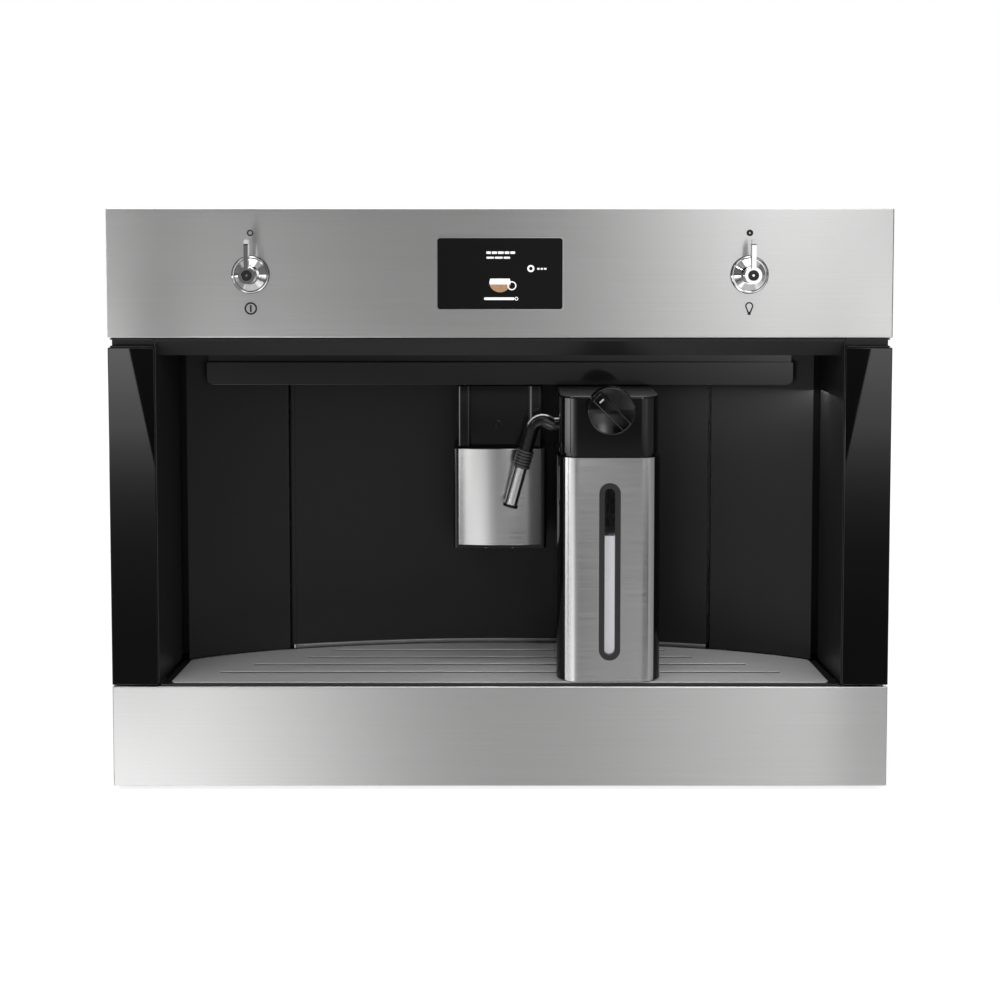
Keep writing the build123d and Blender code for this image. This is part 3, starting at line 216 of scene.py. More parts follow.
def new_group(name, inputs, outputs):
    """A shader node group with named sockets; inputs are (name, kind, default), outputs (name, kind)."""
    tree = bpy.data.node_groups.new(name, "ShaderNodeTree")
    for label, kind, default in inputs:
        socket = tree.interface.new_socket(name=label, in_out="INPUT", socket_type="NodeSocket" + kind)
        socket.default_value = default
    for label, kind in outputs:
        tree.interface.new_socket(name=label, in_out="OUTPUT", socket_type="NodeSocket" + kind)
    return tree, tree.nodes.new("NodeGroupInput").outputs, tree.nodes.new("NodeGroupOutput").inputs


def grain_group():
    """Lines or grains: noise stretched along each axis, that changes colour, roughness and height."""
    tree, given, out = new_group(
        "Grain",
        (
            ("Cells per metre", "Vector", (900.0, 900.0, 900.0)),
            ("Colour", "Color", grey(0.5)),
            ("Colour change", "Float", 0.1),
            ("Roughness", "Float", 0.4),
            ("Roughness change", "Float", 0.1),
        ),
        (("Colour", "Color"), ("Roughness", "Float"), ("Height", "Float")),
    )
    cells = node(tree, "VectorMath", own_place(tree), given["Cells per metre"], operation="MULTIPLY")
    noise = node(tree, "TexNoise", cells, Scale=1.0, Detail=5.0, Roughness=0.62)
    centred = node(tree, "MapRange", noise, From_Min=0.25, From_Max=0.75, To_Min=-1.0)
    tone = node(tree, "Math", centred, given["Colour change"], 1.0, operation="MULTIPLY_ADD")
    rough = node(
        tree, "Math", centred, given["Roughness change"], given["Roughness"], operation="MULTIPLY_ADD"
    )
    feed(tree, out["Colour"], node(tree, "VectorMath", given["Colour"], operation="SCALE", Scale=tone))
    feed(tree, out["Roughness"], rough)
    feed(tree, out["Height"], noise)


def handling_group():
    """Faint wiping marks and specks of dust: a roughness that wanders, and a mask for the specks."""
    tree, given, out = new_group(
        "Handling",
        (("Roughness", "Float", 0.1), ("Smears", "Float", 0.04), ("Dust", "Float", 0.3)),
        (("Roughness", "Float"), ("Specks", "Float")),
    )
    place = own_place(tree)
    smear = node(tree, "TexNoise", place, Scale=9.0, Detail=3.0, Distortion=1.6)
    wide = node(tree, "MapRange", smear, From_Min=0.42, From_Max=0.7)
    speck = node(tree, "TexVoronoi", place, Scale=240.0)
    near = node(tree, "MapRange", speck, From_Min=0.07, From_Max=0.02)
    rough = node(tree, "Math", wide, given["Smears"], given["Roughness"], operation="MULTIPLY_ADD")
    feed(tree, out["Roughness"], rough)
    feed(tree, out["Specks"], node(tree, "Math", near, given["Dust"], operation="MULTIPLY"))


def new_mask(name, *inputs):
    """A group whose mask rises along or away from a direction."""
    return new_group(
        name,
        (*inputs, ("Direction", "Vector", UP), ("Start", "Float", 0.0), ("Over", "Float", 0.001)),
        (("Mask", "Float"),),
    )


def rise(tree, given, out, distance):
    """Feeds a mask that is 0 up to the start and reaches 1 over a further distance, in metres."""
    past = node(tree, "Math", distance, given["Start"], operation="SUBTRACT")
    feed(tree, out["Mask"], node(tree, "Math", past, given["Over"], operation="DIVIDE", use_clamp=True))


def zone_group():
    """A mask that rises along a direction."""
    tree, given, out = new_mask("Zone")
    along = node(tree, "VectorMath", own_place(tree), given["Direction"], operation="DOT_PRODUCT")
    rise(tree, given, out, along.outputs["Value"])


def reach_group():
    """A mask that rises away from a straight line, given by a place on it and its direction."""
    tree, given, out = new_mask("Reach", ("Place", "Vector", (0.0, 0.0, 0.0)))
    away = node(tree, "VectorMath", own_place(tree), given["Place"], operation="SUBTRACT")
    square = node(tree, "VectorMath", away, given["Direction"], operation="CROSS_PRODUCT")
    rise(tree, given, out, node(tree, "VectorMath", square, operation="LENGTH").outputs["Value"])


def use_group(tree, name, **values):
    """Places one of the shared effects in a material, with its own values."""
    return node(tree, "Group", node_tree=bpy.data.node_groups[name], **values)


# ---- finishes


def surface(tree, **values):
    """The surface shader of a material, with these sockets or plain values fed to it."""
    shader = tree.nodes["Principled BSDF"]
    for key, value in values.items():
        feed(tree, shader.inputs[key.replace("_", " ")], value)
    return shader


def new_finish(name, **values):
    """The node tree of a new material whose surface has these values."""
    material = bpy.data.materials.new(name)
    material.use_nodes = True
    surface(material.node_tree, **values)
    return material.node_tree


def grained(name, colour, change, roughness, rough_change, cells, bump, **values):
    """A finish with lines or grains in its colour, roughness and height."""
    tree = new_finish(name, **values)
    grain = use_group(
        tree, "Grain", Cells_per_metre=cells, Colour=(*colour, 1.0), Colour_change=change,
        Roughness=roughness, Roughness_change=rough_change,
    )
    raised = node(tree, "Bump", Strength=bump, Distance=GRAIN_DEPTH, Height=grain.outputs["Height"])
    surface(tree, Base_Color=grain, Roughness=grain.outputs["Roughness"], Normal=raised)
    return tree


def brushed(name, colour, grain, cells, across, roughness=0.31, anisotropic=0.86):
    """Brushed metal: fine lines, and reflections drawn out across them."""
    tree = grained(
        name, colour, 0.035, roughness, 0.03, cells, grain, Metallic=1.0, Anisotropic=anisotropic
    )
    surface(tree, Tangent=node(tree, "CombineXYZ", *across))
    return tree


def crown(tree, name, curve):
    """Curves a flat face a little: the height falls with the square of the distance from its middle."""
    away = node(tree, "VectorMath", own_place(tree), middle_of(name), operation="SUBTRACT")
    squared = node(tree, "VectorMath", away, away, operation="MULTIPLY")
    fall = node(tree, "VectorMath", squared, [-c for c in curve], operation="DOT_PRODUCT")
    raised = node(tree, "Bump", Strength=1.0, Distance=1.0, Height=fall.outputs["Value"])
    for old in list(surface(tree).inputs["Normal"].links):
        feed(tree, raised.inputs["Normal"], old.from_socket)
    surface(tree, Normal=raised)


def polished(name, colour, roughness, smears, dust, **values):
    """A smooth finish with faint wiping marks and dust."""
    tree = new_finish(name, **values)
    handled = use_group(tree, "Handling", Roughness=roughness, Smears=smears, Dust=dust)
    specked = mixed(tree, handled.outputs["Specks"], (*colour, 1.0), DUST_COLOUR, "RGBA")
    surface(tree, Base_Color=specked, Roughness=handled)
    return tree


def changed(tree, mask, **values):
    """Gives sockets of the surface other values where the mask is 1, whatever feeds them now."""
    for key, value in values.items():
        target = surface(tree).inputs[key.replace("_", " ")]
        before = target.links[0].from_socket if target.links else target.default_value
        kind = "RGBA" if target.type == "RGBA" else "FLOAT"
        feed(tree, target, mixed(tree, mask, before, value, kind))


def make_steels(steel):
    """Brushed face and tray, the bare sheet metal and cast parts behind them, and chrome."""
    colour, grain = tuple(steel.colour), steel.grain
    highlight_height, ring_height, blur = 3.2 * MM, 2.5 * MM, 0.1 * MM
    brushed("brushed face steel", colour, grain, (9.0, 500.0, 1300.0), UP)
    tray_cells, tray_across = (9.0, 1300.0, 500.0), (0.0, 1.0, 0.0)
    tray = brushed("tray steel", (0.74, 0.74, 0.735), grain, tray_cells, tray_across, 0.5, 0.5)
    surface(tray, Metallic=0.8)
    for name, part, curve in (
        ("carafe plate steel", "carafe_front_plate", -1.2), ("spout plate steel", "spout_front_plate", 3.2)
    ):
        plate = brushed(name, colour, grain, (30.0, 500.0, 1300.0), UP, 0.2, 0.35)
        crown(plate, part, (curve, 0.0, 0.0))
    grained("chassis steel", (0.5, 0.505, 0.51), 0.06, 0.42, 0.05, (240.0,) * 3, 0.012, Metallic=1.0)
    grained("rail steel", (0.5, 0.5, 0.5), 0.02, 0.32, 0.03, (700.0, 6.0, 700.0), 0.03, Metallic=1.0)
    grained("cast aluminium", (0.52, 0.52, 0.53), 0.12, 0.55, 0.08, (700.0,) * 3, 0.25, Metallic=1.0)
    grained("burr steel", (0.42, 0.42, 0.42), 0.08, 0.25, 0.05, (60.0, 60.0, 1500.0), 0.08, Metallic=1.0)
    grained("motor steel", (0.36, 0.37, 0.38), 0.07, 0.38, 0.06, (60.0, 60.0, 900.0), 0.05, Metallic=1.0)
    polished("chrome", (0.78, 0.78, 0.79), 0.05, 0.03, 0.1, Metallic=1.0)
    lever = polished("capped chrome", (0.78, 0.78, 0.79), 0.05, 0.03, 0.1, Metallic=1.0)
    # painted highlight: the top 3.2 mm of each lever is white and matte, standing in for the highlight along
    # its top
    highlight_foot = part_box("power_lever")[1].z - highlight_height
    top_highlight = use_group(lever, "Zone", Direction=UP, Start=highlight_foot, Over=blur)
    changed(lever, top_highlight, Base_Color=(0.9, 0.9, 0.89, 1.0), Metallic=0.0, Roughness=0.25)
    tip = polished("tip steel", (0.9, 0.9, 0.9), 0.2, 0.03, 0.05, Metallic=1.0)
    foot = max(SPOUT_DOWN.dot(v.co) for v in nodes_of["milk_tip"].data.vertices)
    ring = use_group(tip, "Zone", Direction=SPOUT_DOWN, Start=foot - ring_height, Over=blur)
    changed(tip, ring, Base_Color=grey(0.01), Metallic=0.0)


def make_blacks(gloss):
    """Black glass, gloss and satin mouldings, and rubber."""
    colour = tuple(gloss.colour)
    polished("black glass", (0.003, 0.003, 0.0032), 0.015, 0.02, 0.05)
    polished("display glass", (0.011, 0.011, 0.011), 0.05, 0.02, 0.05, Specular_IOR_Level=0.1)
    polished("black gloss", colour, 0.07, 0.03, 0.06)
    polished("niche lacquer", (0.018, 0.018, 0.0182), 0.34, 0.04, 0.0, Specular_IOR_Level=0.3)
    polished("wall lacquer", (0.017, 0.017, 0.0172), 0.36, 0.04, 0.0, Specular_IOR_Level=0.17)
    polished("tube gloss", colour, 0.24, 0.03, 0.05)
    polished("bridge gloss", (0.025, 0.025, 0.025), 0.09, 0.03, 0.0)
    sleeve = polished("ribbed rubber", (0.006, 0.006, 0.006), 0.3, 0.03, 0.05)
    middle, groove_radius, rib_height = middle_of("milk_sleeve"), 6.3 * MM, 0.4 * MM
    # painted highlight: the crests of the sleeve's ribs are painted lighter grey, standing in for the light
    # they catch
    painted_rib_highlights = use_group(
        sleeve, "Reach", Place=middle, Direction=SPOUT_DOWN, Start=groove_radius, Over=rib_height
    )
    changed(sleeve, painted_rib_highlights, Base_Color=grey(0.07))
    crown(polished("dial gloss", colour, 0.06, 0.03, 0.05), "froth_dial", (-5.0, 0.0, -5.0))
    lid = polished("lid gloss", colour, 0.07, 0.03, 0.05)
    # painted reflection: the lid's top is painted light grey, standing in for the light from above that its
    # gloss would mirror; it is also made rougher
    rounding_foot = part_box("carafe_lid")[1].z - 1.5 * MM
    painted_roof_sheen = use_group(lid, "Zone", Direction=UP, Start=rounding_foot, Over=1.4 * MM)
    changed(lid, painted_roof_sheen, Base_Color=grey(0.13), Roughness=0.45)
    grained("black satin", (0.012, 0.012, 0.0125), 0.2, 0.38, 0.05, (1500.0,) * 3, 0.12)
    grained("dark grey plastic", (0.022, 0.022, 0.023), 0.15, 0.33, 0.05, (1300.0,) * 3, 0.1)
    grained("black rubber", (0.011, 0.011, 0.011), 0.2, 0.55, 0.08, (1800.0,) * 3, 0.2)


def make_plastics():
    """Clear, smoked, white and green parts behind the face."""
    polished("clear window", (0.85, 0.85, 0.86), 0.03, 0.02, 0.0, Transmission_Weight=1.0, IOR=1.2)
    polished("clear tank", (0.93, 0.95, 0.96), 0.06, 0.05, 0.0, Transmission_Weight=1.0, IOR=1.25)
    polished("smoked plastic", (0.2, 0.19, 0.18), 0.05, 0.05, 0.0, Transmission_Weight=1.0, IOR=1.3)
    grained("silicone hose", (0.62, 0.63, 0.62), 0.06, 0.42, 0.06, (500.0,) * 3, 0.05, Subsurface_Weight=0.2)
    grained("white moulding", (0.66, 0.65, 0.62), 0.05, 0.36, 0.05, (900.0,) * 3, 0.06)
    board = grained("green board", (0.01, 0.075, 0.03), 0.2, 0.35, 0.05, (400.0,) * 3, 0.05)
    upright = node(board, "Mapping", own_place(board), Rotation=(math.pi / 2, 0.0, 0.0))
    tracks = node(
        board, "TexBrick", upright, Scale=260.0, Mortar_Size=0.09, Color1=(0.008, 0.06, 0.024, 1.0),
        Color2=(0.012, 0.085, 0.035, 1.0), Mortar=(0.03, 0.19, 0.08, 1.0),
    )
    surface(board, Base_Color=tracks)


# finishes of record slots that aren't called like the slot
FINISH_OF_SLOT = {
    "chrome_trim": "chrome",
    "display_dark": "display glass",
    "dark_grey": "dark grey plastic",
    "window_clear": "clear window",
    "rubber_black": "black rubber",
    "tank_clear": "clear tank",
    "hopper_smoke": "smoked plastic",
    "hose_silicone": "silicone hose",
    "board_green": "green board",
}

# finishes of nodes that don't have the finish of their slot
FINISH_OF_NODE = {
    "carafe_front_plate": "carafe plate steel",
    "spout_front_plate": "spout plate steel",
    "niche_bezel": "niche lacquer",
    "niche_side_panels": "wall lacquer",
    "door_panel": "wall lacquer",
    "upper_bridge": "bridge gloss",
    "spout_guide": "black gloss",
    "froth_dial": "dial gloss",
    "carafe_lid": "lid gloss",
    "power_lever": "capped chrome",
    "light_lever": "capped chrome",
    "intake_tube": "black satin",
    "milk_tube": "tube gloss",
    "milk_tip": "tip steel",
    "milk_sleeve": "ribbed rubber",
}

# width of the broken edge in millimetres, and the nodes that have it
BROKEN_EDGES = (
    (0.2, ("window_frame",)),
    (0.25, ("spout_front_plate", "froth_dial")),
    (0.3, ("cup_grid", "niche_side_panels", "door_panel", "drip_tray", "side_carriers", "chassis_sides")),
    (0.35, ("power_lever", "light_lever")),
    (0.4, ("side_glasses", "spout_guide", "drawer_frame")),
    (0.5, (
        "control_panel", "lower_fascia", "niche_bezel", "spout_body", "carafe_body", "top_cover",
        "brew_frame",
    )),
    (0.6, ("upper_bridge", "pump")),
    (0.8, ("grounds_container", "grinder_housing", "thermoblock")),
    (1.0, ("water_tank",)),
)
EDGE_OF_NODE = {name: width for width, names in BROKEN_EDGES for name in names}


def slot_of(material):
    """The record slot that a CAD node's material stands for."""
    return material.name.split(".")[0]


def paint(names):
    """Gives CAD nodes their own finish, or else that of their record slot."""
    for name in names:
        mesh = nodes_of[name].data
        for index, old in enumerate(mesh.materials):
            slot = slot_of(old)
            finish = FINISH_OF_NODE.get(name) or FINISH_OF_SLOT.get(slot, slot.replace("_", " "))
            mesh.materials[index] = bpy.data.materials[finish]


def modify(obj, name, kind, **settings):
    """Puts a modifier with these settings on an object."""
    made = obj.modifiers.new(name, kind)
    for key, value in settings.items():
        setattr(made, key, value)


def soften(names):
    """Breaks the sharp edges of CAD nodes, so that they catch the light."""
    for name in names:
        if name in EDGE_OF_NODE:
            obj = nodes_of[name]
            modify(obj, "joined corners", "WELD", merge_threshold=0.01 * MM)
            modify(obj, "whole faces", "DECIMATE", decimate_type="DISSOLVE", angle_limit=math.radians(0.3))
            modify(
                obj, "broken edges", "BEVEL", width=EDGE_OF_NODE[name] * MM, segments=2,
                limit_method="ANGLE", angle_limit=math.radians(50.0), use_clamp_overlap=True,
            )
            modify(obj, "even shading", "WEIGHTED_NORMAL", keep_sharp=True, weight=100)


def dress(names):
    """Paints CAD nodes and breaks their edges."""
    paint(names)
    soften(names)
    return {"FINISHED"}


# ---- shapes


def new_object(name, material, shape):
    """Turns a bmesh into an object."""
    mesh = bpy.data.meshes.new(name)
    shape.to_mesh(mesh)
    shape.free()
    mesh.materials.append(material)
    made = bpy.data.objects.new(name, mesh)
    bpy.context.scene.collection.objects.link(made)
    return made


def add_piece(name, body, finish, shape, sharp=30.0):
    """Turns a bmesh into a piece of the object that rides on a body."""
    bmesh.ops.recalc_face_normals(shape, faces=shape.faces)
    made = new_object(name, bpy.data.materials[finish], shape)
    made.data.shade_smooth()
    made.data.set_sharp_from_angle(angle=math.radians(sharp))
    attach(made, body)


def edges_of(verts):
    """The edges that end at any of these."""
    return {e for v in verts for e in v.link_edges}


def round_upright(shape, verts, height, corner, segments):
    """Rounds the edges of a block that are about as long as it is high, and gives its corners."""
    edges = [e for e in edges_of(verts) if abs((e.verts[0].co - e.verts[1].co).z) > height / 2]
    cut = bmesh.ops.bevel(
        shape, geom=edges, offset=corner, offset_type="OFFSET", segments=segments, profile=0.5,
        affect="EDGES", material=-1,
    )
    return list({v for f in cut["faces"] for v in f.verts} | {v for v in verts if v.is_valid})


def spread_corners(loop, spread):
    """Parts the quarters of a circle, so that it becomes a frame with round corners."""
    for vert in loop:
        for axis in (0, 1):
            if abs(vert.co[axis]) > 0.001:
                vert.co[axis] += math.copysign(spread[axis], vert.co[axis])


def raise_band(shape, place, edges, thick):
    """Fills the band between two loops of edges, makes it thick and puts it in its place."""
    verts = {v for e in edges for v in e.verts}
    band = bmesh.ops.bridge_loops(shape, edges=list(edges))["faces"]
    top = bmesh.ops.extrude_face_region(shape, geom=band)["geom"]
    raised = [v for v in top if isinstance(v, bmesh.types.BMVert)]
    bmesh.ops.translate(shape, verts=raised, vec=(0.0, 0.0, thick))
    bmesh.ops.transform(shape, matrix=place, verts=[*verts, *raised])


def draw_bar(shape, place, width, height, thick, corner=0.0, lean=0.0):
    """A flat bar, in millimetres, with round corners if one is given."""
    turn = Matrix.Rotation(lean, 4, "Z")
    size = Matrix.Diagonal((width, height, thick, 1.0))
    verts = bmesh.ops.create_cube(shape, size=1.0, matrix=turn @ size)["verts"]
    if corner:
        verts = round_upright(shape, verts, thick, corner, 5)
    bmesh.ops.transform(shape, matrix=place, verts=verts)


def draw_ring(shape, place, outer, inner, thick, steps=40, spread=(0.0, 0.0)):
    """A flat ring, in millimetres; spread parts its quarters into a frame with round corners."""
    rims = []
    for radius in (outer, inner):
        rims += bmesh.ops.create_circle(shape, segments=steps, radius=radius)["verts"]
    spread_corners(rims, spread)
    raise_band(shape, place, edges_of(rims), thick)


def draw_bulb(shape, place, thick):
    """The outline of a light bulb on its base, in millimetres."""
    edges = []
    start, sweep, steps = -35.0, 250.0, 30
    for radius, neck, drop in ((3.1, 1.4, 4.9), (2.0, 0.4, 4.3)):
        turns = [math.radians(start + sweep * step / steps) for step in range(steps + 1)]
        spots = [(radius * math.cos(turn), radius * math.sin(turn)) for turn in turns]
        verts = [shape.verts.new((*spot, 0.0)) for spot in (*spots, (-neck, -drop), (neck, -drop))]
        edges += [shape.edges.new(pair) for pair in zip(verts, verts[1:] + verts[:1])]
    raise_band(shape, place, edges, thick)
    draw_bar(shape, place @ Matrix.Translation((0.0, -5.7, 0.0)), 2.4, 2.1, thick * 2, 0.5)


def draw_disc(shape, place, radius, thick, steps=40):
    """A flat round disc, in millimetres."""
    bmesh.ops.create_cone(
        shape, cap_ends=True, segments=steps, radius1=radius, radius2=radius, depth=thick, matrix=place
    )


def draw_bead(shape, place, half_width, half_height, corner, band, rise_by):
    """A pressed bead that runs round a frame with round corners, in millimetres."""
    loops = []
    for inward, height in ((0.0, 0.0), (0.22, 0.7), (0.5, 1.0), (0.78, 0.7), (1.0, 0.0)):
        loop = bmesh.ops.create_circle(shape, segments=32, radius=corner - inward * band)["verts"]
        spread_corners(loop, (half_width - corner, half_height - corner))
        for vert in loop:
            vert.co.z = height * rise_by
        loops.append(loop)
    edges = [edges_of(loop) for loop in loops]
    for low, high in zip(edges, edges[1:] + edges[:1]):
        bmesh.ops.bridge_loops(shape, edges=list(low | high))
    bmesh.ops.transform(shape, matrix=place, verts=[v for loop in loops for v in loop])


# ---- operators


class COFFEE_OT_effects(Operator):
    """Makes the shared effects and every finish"""

    bl_idname = "coffee.effects"
    bl_label = "Make finishes"

    def execute(self, context):
        machine = context.scene.coffee_machine
        for make_group in (grain_group, handling_group, zone_group, reach_group):
            make_group()
        make_steels(machine.steel)
        make_blacks(machine.gloss)
        make_plastics()
        return {"FINISHED"}


class COFFEE_OT_face(Operator):
    """Finishes the two steel bars, the side panes and their carriers"""

    bl_idname = "coffee.face"
    bl_label = "Face"

    def execute(self, context):
        return dress(("control_panel", "lower_fascia", "side_glasses", "side_carriers", "front_frame"))


# rows of bars on the display: (height above the face's foot, bar height, corner, each bar's (place, width))
DISPLAY_BARS = (
    (410.6, 1.9, 0.5, ((-8.6, 3.4), (-4.2, 4.0), (0.6, 4.4), (5.3, 3.6), (9.6, 3.6))),
    (406.8, 1.5, 0.4, ((-7.4, 5.6), (-0.9, 6.0), (5.2, 4.8))),
    (398.4, 1.4, 0.4, ((29.0, 1.9), (31.6, 1.9), (34.2, 1.9))),
    (375.8, 2.0, 0.9, ((-0.6, 23.0),)),
)
# rings on the display: (place, height above the face's foot, outer radius, inner radius, sides)
DISPLAY_RINGS = ((23.3, 398.6, 2.7, 1.35, 40), (9.0, 385.6, 3.4, 2.5, 40), (12.4, 375.8, 1.4, 0.8, 24))
COFFEE_COLOUR = (0.42, 0.24, 0.13)


class COFFEE_OT_display(Operator):
    """Finishes the display and lights its signs"""

    bl_idname = "coffee.display"
    bl_label = "Display"

    def execute(self, context):
        paint(("display_glass", "display_module"))
        for name, colour, change, cells, power in (
            ("lit sign", tuple(context.scene.coffee_machine.display.light), 0.04, 900.0, 0.55),
            ("lit coffee", COFFEE_COLOUR, 0.25, 500.0, 0.4),
        ):
            grained(
                name, colour, change, 0.5, 0.02, (cells,) * 3, 0.0, Emission_Color=(*colour, 1.0),
                Emission_Strength=power,
            )
        low, high = (measured(corner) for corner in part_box("display_glass"))
        signs = bmesh.new()
        for z, height, corner, bars in DISPLAY_BARS:
            for x, width in bars:
                draw_bar(signs, on_face(x, low.y, z), width, height, 0.08, corner)
        for x, z, outer, inner, steps in DISPLAY_RINGS:
            draw_ring(signs, on_face(x, low.y, z), outer, inner, 0.06, steps)
        add_piece("display_signs", "machine", "lit sign", signs)
        rim, inset = bmesh.new(), 1.2
        spread = ((high.x - low.x) / 2 - inset, (high.z - low.z) / 2 - inset)
        draw_ring(rim, on_face(0.0, 0.0, (low.z + high.z) / 2), 1.95, 1.4, 0.05, 32, spread)
        add_piece("display_rim", "machine", "chrome", rim)
        brim, foam_foot, foot = 391.0, 386.6, 380.0
        self.add_cup_part("foam", "lit sign", low.y, foam_foot, brim)
        self.add_cup_part("coffee", "lit coffee", low.y, foot, foam_foot)
        return {"FINISHED"}

    def add_cup_part(self, name, finish, glass, foot, top):
        """The part of a round cup between two heights, seen from the side."""
        cup = bmesh.new()
        middle, radius, squashed = 388.0, 8.0, Matrix.Diagonal((1.0, 0.92, 1.0, 1.0))
        draw_disc(cup, on_face(0.0, glass, middle) @ squashed, radius, 0.06, 48)
        for height, outwards in ((top, 1), (foot, -1)):
            cut = bmesh.ops.bisect_plane(
                cup, geom=[*cup.verts, *cup.edges, *cup.faces], plane_co=at(0, 0, height),
                plane_no=(0, 0, outwards), clear_outer=True,
            )
            edges = [g for g in cut["geom_cut"] if isinstance(g, bmesh.types.BMEdge)]
            bmesh.ops.holes_fill(cup, edges=edges)
        add_piece("display_cup_" + name, "machine", finish, cup)


class COFFEE_OT_knobs(Operator):
    """Finishes the two lever knobs and prints the signs round them"""

    bl_idname = "coffee.knobs"
    bl_label = "Knobs and signs"

    def execute(self, context):
        paint(("knob_bases", "power_lever", "light_lever", "rotary_switches"))
        grained("black print", (0.012, 0.012, 0.012), 0.15, 0.5, 0.05, (900.0,) * 3, 0.0)
        print_height, above_knob, below_knob = 0.03, 31.5, -25.6
        x = measured(middle_of("light_lever")).x
        lever = measured(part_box("power_lever")[0]).y
        recess = lever + 3.0
        hub = measured(middle_of("knob_bases")).z
        for name, side in (("power", -x), ("light", x)):
            # a disc with a raised ring in the lever's recess, and the bar on its tip
            centre = bmesh.new()
            draw_disc(centre, on_face(side, recess - 0.25, hub), 4.0, 0.5)
            draw_ring(centre, on_face(side, recess - 0.5, hub), 3.7, 3.2, 0.15)
            draw_bar(centre, on_face(side, lever + 0.45, hub + 23.1), 3.2, 0.78, 0.8)
            add_piece(name + "_knob_centre", name + "_knob", "black satin", centre)
            dot = bmesh.new()
            draw_disc(dot, on_face(side, recess - 0.6, hub), 0.9, 0.3, 20)
            draw_ring(dot, on_face(side, recess - 0.6, hub), 0.7, 0.35, 0.3, 20)
            add_piece(name + "_knob_dot", name + "_knob", "chrome", dot)
        # painted shade: a thin black ring round each knob base stands in for the shadow in the gap at the
        # base's rim
        shadow_rings = bmesh.new()
        for side in (-x, x):
            draw_ring(shadow_rings, on_face(side, 0.0, hub), 14.45, 13.7, 0.5, 64)
        add_piece("knob_seals", "machine", "black rubber", shadow_rings)
        signs = bmesh.new()
        draw_ring(signs, on_face(-x, 0.0, hub + above_knob), 2.5, 1.35, print_height)
        draw_ring(signs, on_face(-x, 0.0, hub + below_knob), 4.8, 3.5, print_height)
        draw_bar(signs, on_face(-x, 0.0, hub + below_knob), 1.4, 5.4, print_height * 2, 0.5)
        draw_ring(signs, on_face(x, 0.0, hub + above_knob), 2.55, 0.6, print_height)
        draw_bulb(signs, on_face(x, 0.0, hub + below_knob + 1.8), print_height)
        add_piece("printed_signs", "machine", "black print", signs)
        return {"FINISHED"}


class COFFEE_OT_niche(Operator):
    """Finishes the niche: its bevelled frame, walls, bridge and door"""

    bl_idname = "coffee.niche"
    bl_label = "Niche"

    def execute(self, context):
        walls = ("niche_bezel", "niche_side_panels", "upper_bridge", "door_panel")
        return dress((*walls, "door_carrier", "carafe_dock"))


class COFFEE_OT_spout(Operator):
    """Finishes the coffee spout and its guide"""

    bl_idname = "coffee.spout"
    bl_label = "Coffee spout"

    def execute(self, context):
        return dress(("spout_guide", "spout_body", "spout_front_plate", "coffee_nozzles"))


class COFFEE_OT_carafe(Operator):
    """Finishes the milk carafe and fills it with milk"""

    bl_idname = "coffee.carafe"
    bl_label = "Milk carafe"

    def execute(self, context):
        settings = context.scene.coffee_machine.carafe
        vessel = ("carafe_body", "carafe_front_plate", "window_frame", "window_lens", "carafe_lid")
        dress((*vessel, "intake_tube", "froth_dial", "milk_tube", "milk_sleeve", "milk_tip"))
        nodes_of["window_lens"].visible_shadow = False
        self.paint_grip_highlight()
        self.pour_milk(tuple(settings.milk_colour), FACE_Z + settings.milk_level)
        return {"FINISHED"}

    def paint_grip_highlight(self):
        """Paints a pale highlight on the lit end of the dial's grip."""
        grained("pale print", (0.62, 0.62, 0.62), 0.05, 0.4, 0.04, (900.0,) * 3, 0.0)
        dial = measured(middle_of("froth_dial"))
        front = measured(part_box("froth_dial")[0]).y
        lean, reach = math.radians(47.0), 11.6
        place = on_face(dial.x - reach * math.cos(lean), front, dial.z + reach * math.sin(lean))
        grip_highlight = bmesh.new()
        draw_bar(grip_highlight, place, 1.3, 4.2, 0.06, 0.4, -lean)
        add_piece("dial_grip_highlight", "dial", "pale print", grip_highlight)

    def pour_milk(self, colour, level):
        """Fills the vessel up to a level with milk that has a painted glow right behind the window, where
        light would fall in.
        """
        low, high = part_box("carafe_body")
        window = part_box("window_lens")[1].y
        wall, gap, corner, glow_depth = 4.2 * MM, 0.4 * MM, 12.0 * MM, 2.0 * MM
        tree = grained(
            "milk", colour, 0.04, 0.3, 0.03, (60.0, 60.0, 30.0), 0.0, Emission_Strength=0.42,
            Emission_Color=grey(0.0),
        )
        # painted light: the milk glows in its own colour within glow_depth behind the window, standing in
        # for the light that falls in there; it is no lamp
        lit = use_group(
            tree, "Zone", Direction=(0.0, -1.0, 0.0), Start=-window - glow_depth, Over=1.4 * MM
        )
        changed(tree, lit, Emission_Color=(*colour, 1.0))
        start = Vector((low.x + wall, window + gap, low.z + wall))
        size = Vector((high.x - wall, high.y - wall, level)) - start
        place = Matrix.Translation(start + size / 2) @ Matrix.Diagonal((*size, 1.0))
        milk = bmesh.new()
        verts = bmesh.ops.create_cube(milk, size=1.0, matrix=place)["verts"]
        round_upright(milk, verts, size.z, corner, 8)
        add_piece("milk", "carafe", "milk", milk)


class COFFEE_OT_tray(Operator):
    """Finishes the cup grid, drip tray and drawer"""

    bl_idname = "coffee.tray"
    bl_label = "Tray drawer"

    def execute(self, context):
        return dress(("cup_grid", "drip_tray", "drawer_frame", "grounds_container"))


class COFFEE_OT_housing(Operator):
    """Finishes the housing, rails and everything inside"""

    bl_idname = "coffee.housing"
    bl_label = "Housing and works"

    def execute(self, context):
        # slots have an underscore in their names, and finishes don't
        return dress([name for name, obj in nodes_of.items() if "_" in slot_of(obj.data.materials[0])])


# bars on the type plate: (place and height from its middle, width, height)
PLATE_PRINT = (
    (-17.0, 5.0, 8.0, 5.0), (4.0, 6.0, 26.0, 1.6), (1.0, 2.5, 20.0, 1.2),
    (-4.0, -2.5, 32.0, 1.2), (-6.0, -6.0, 28.0, 1.2), (16.0, -5.0, 7.0, 6.0),
)


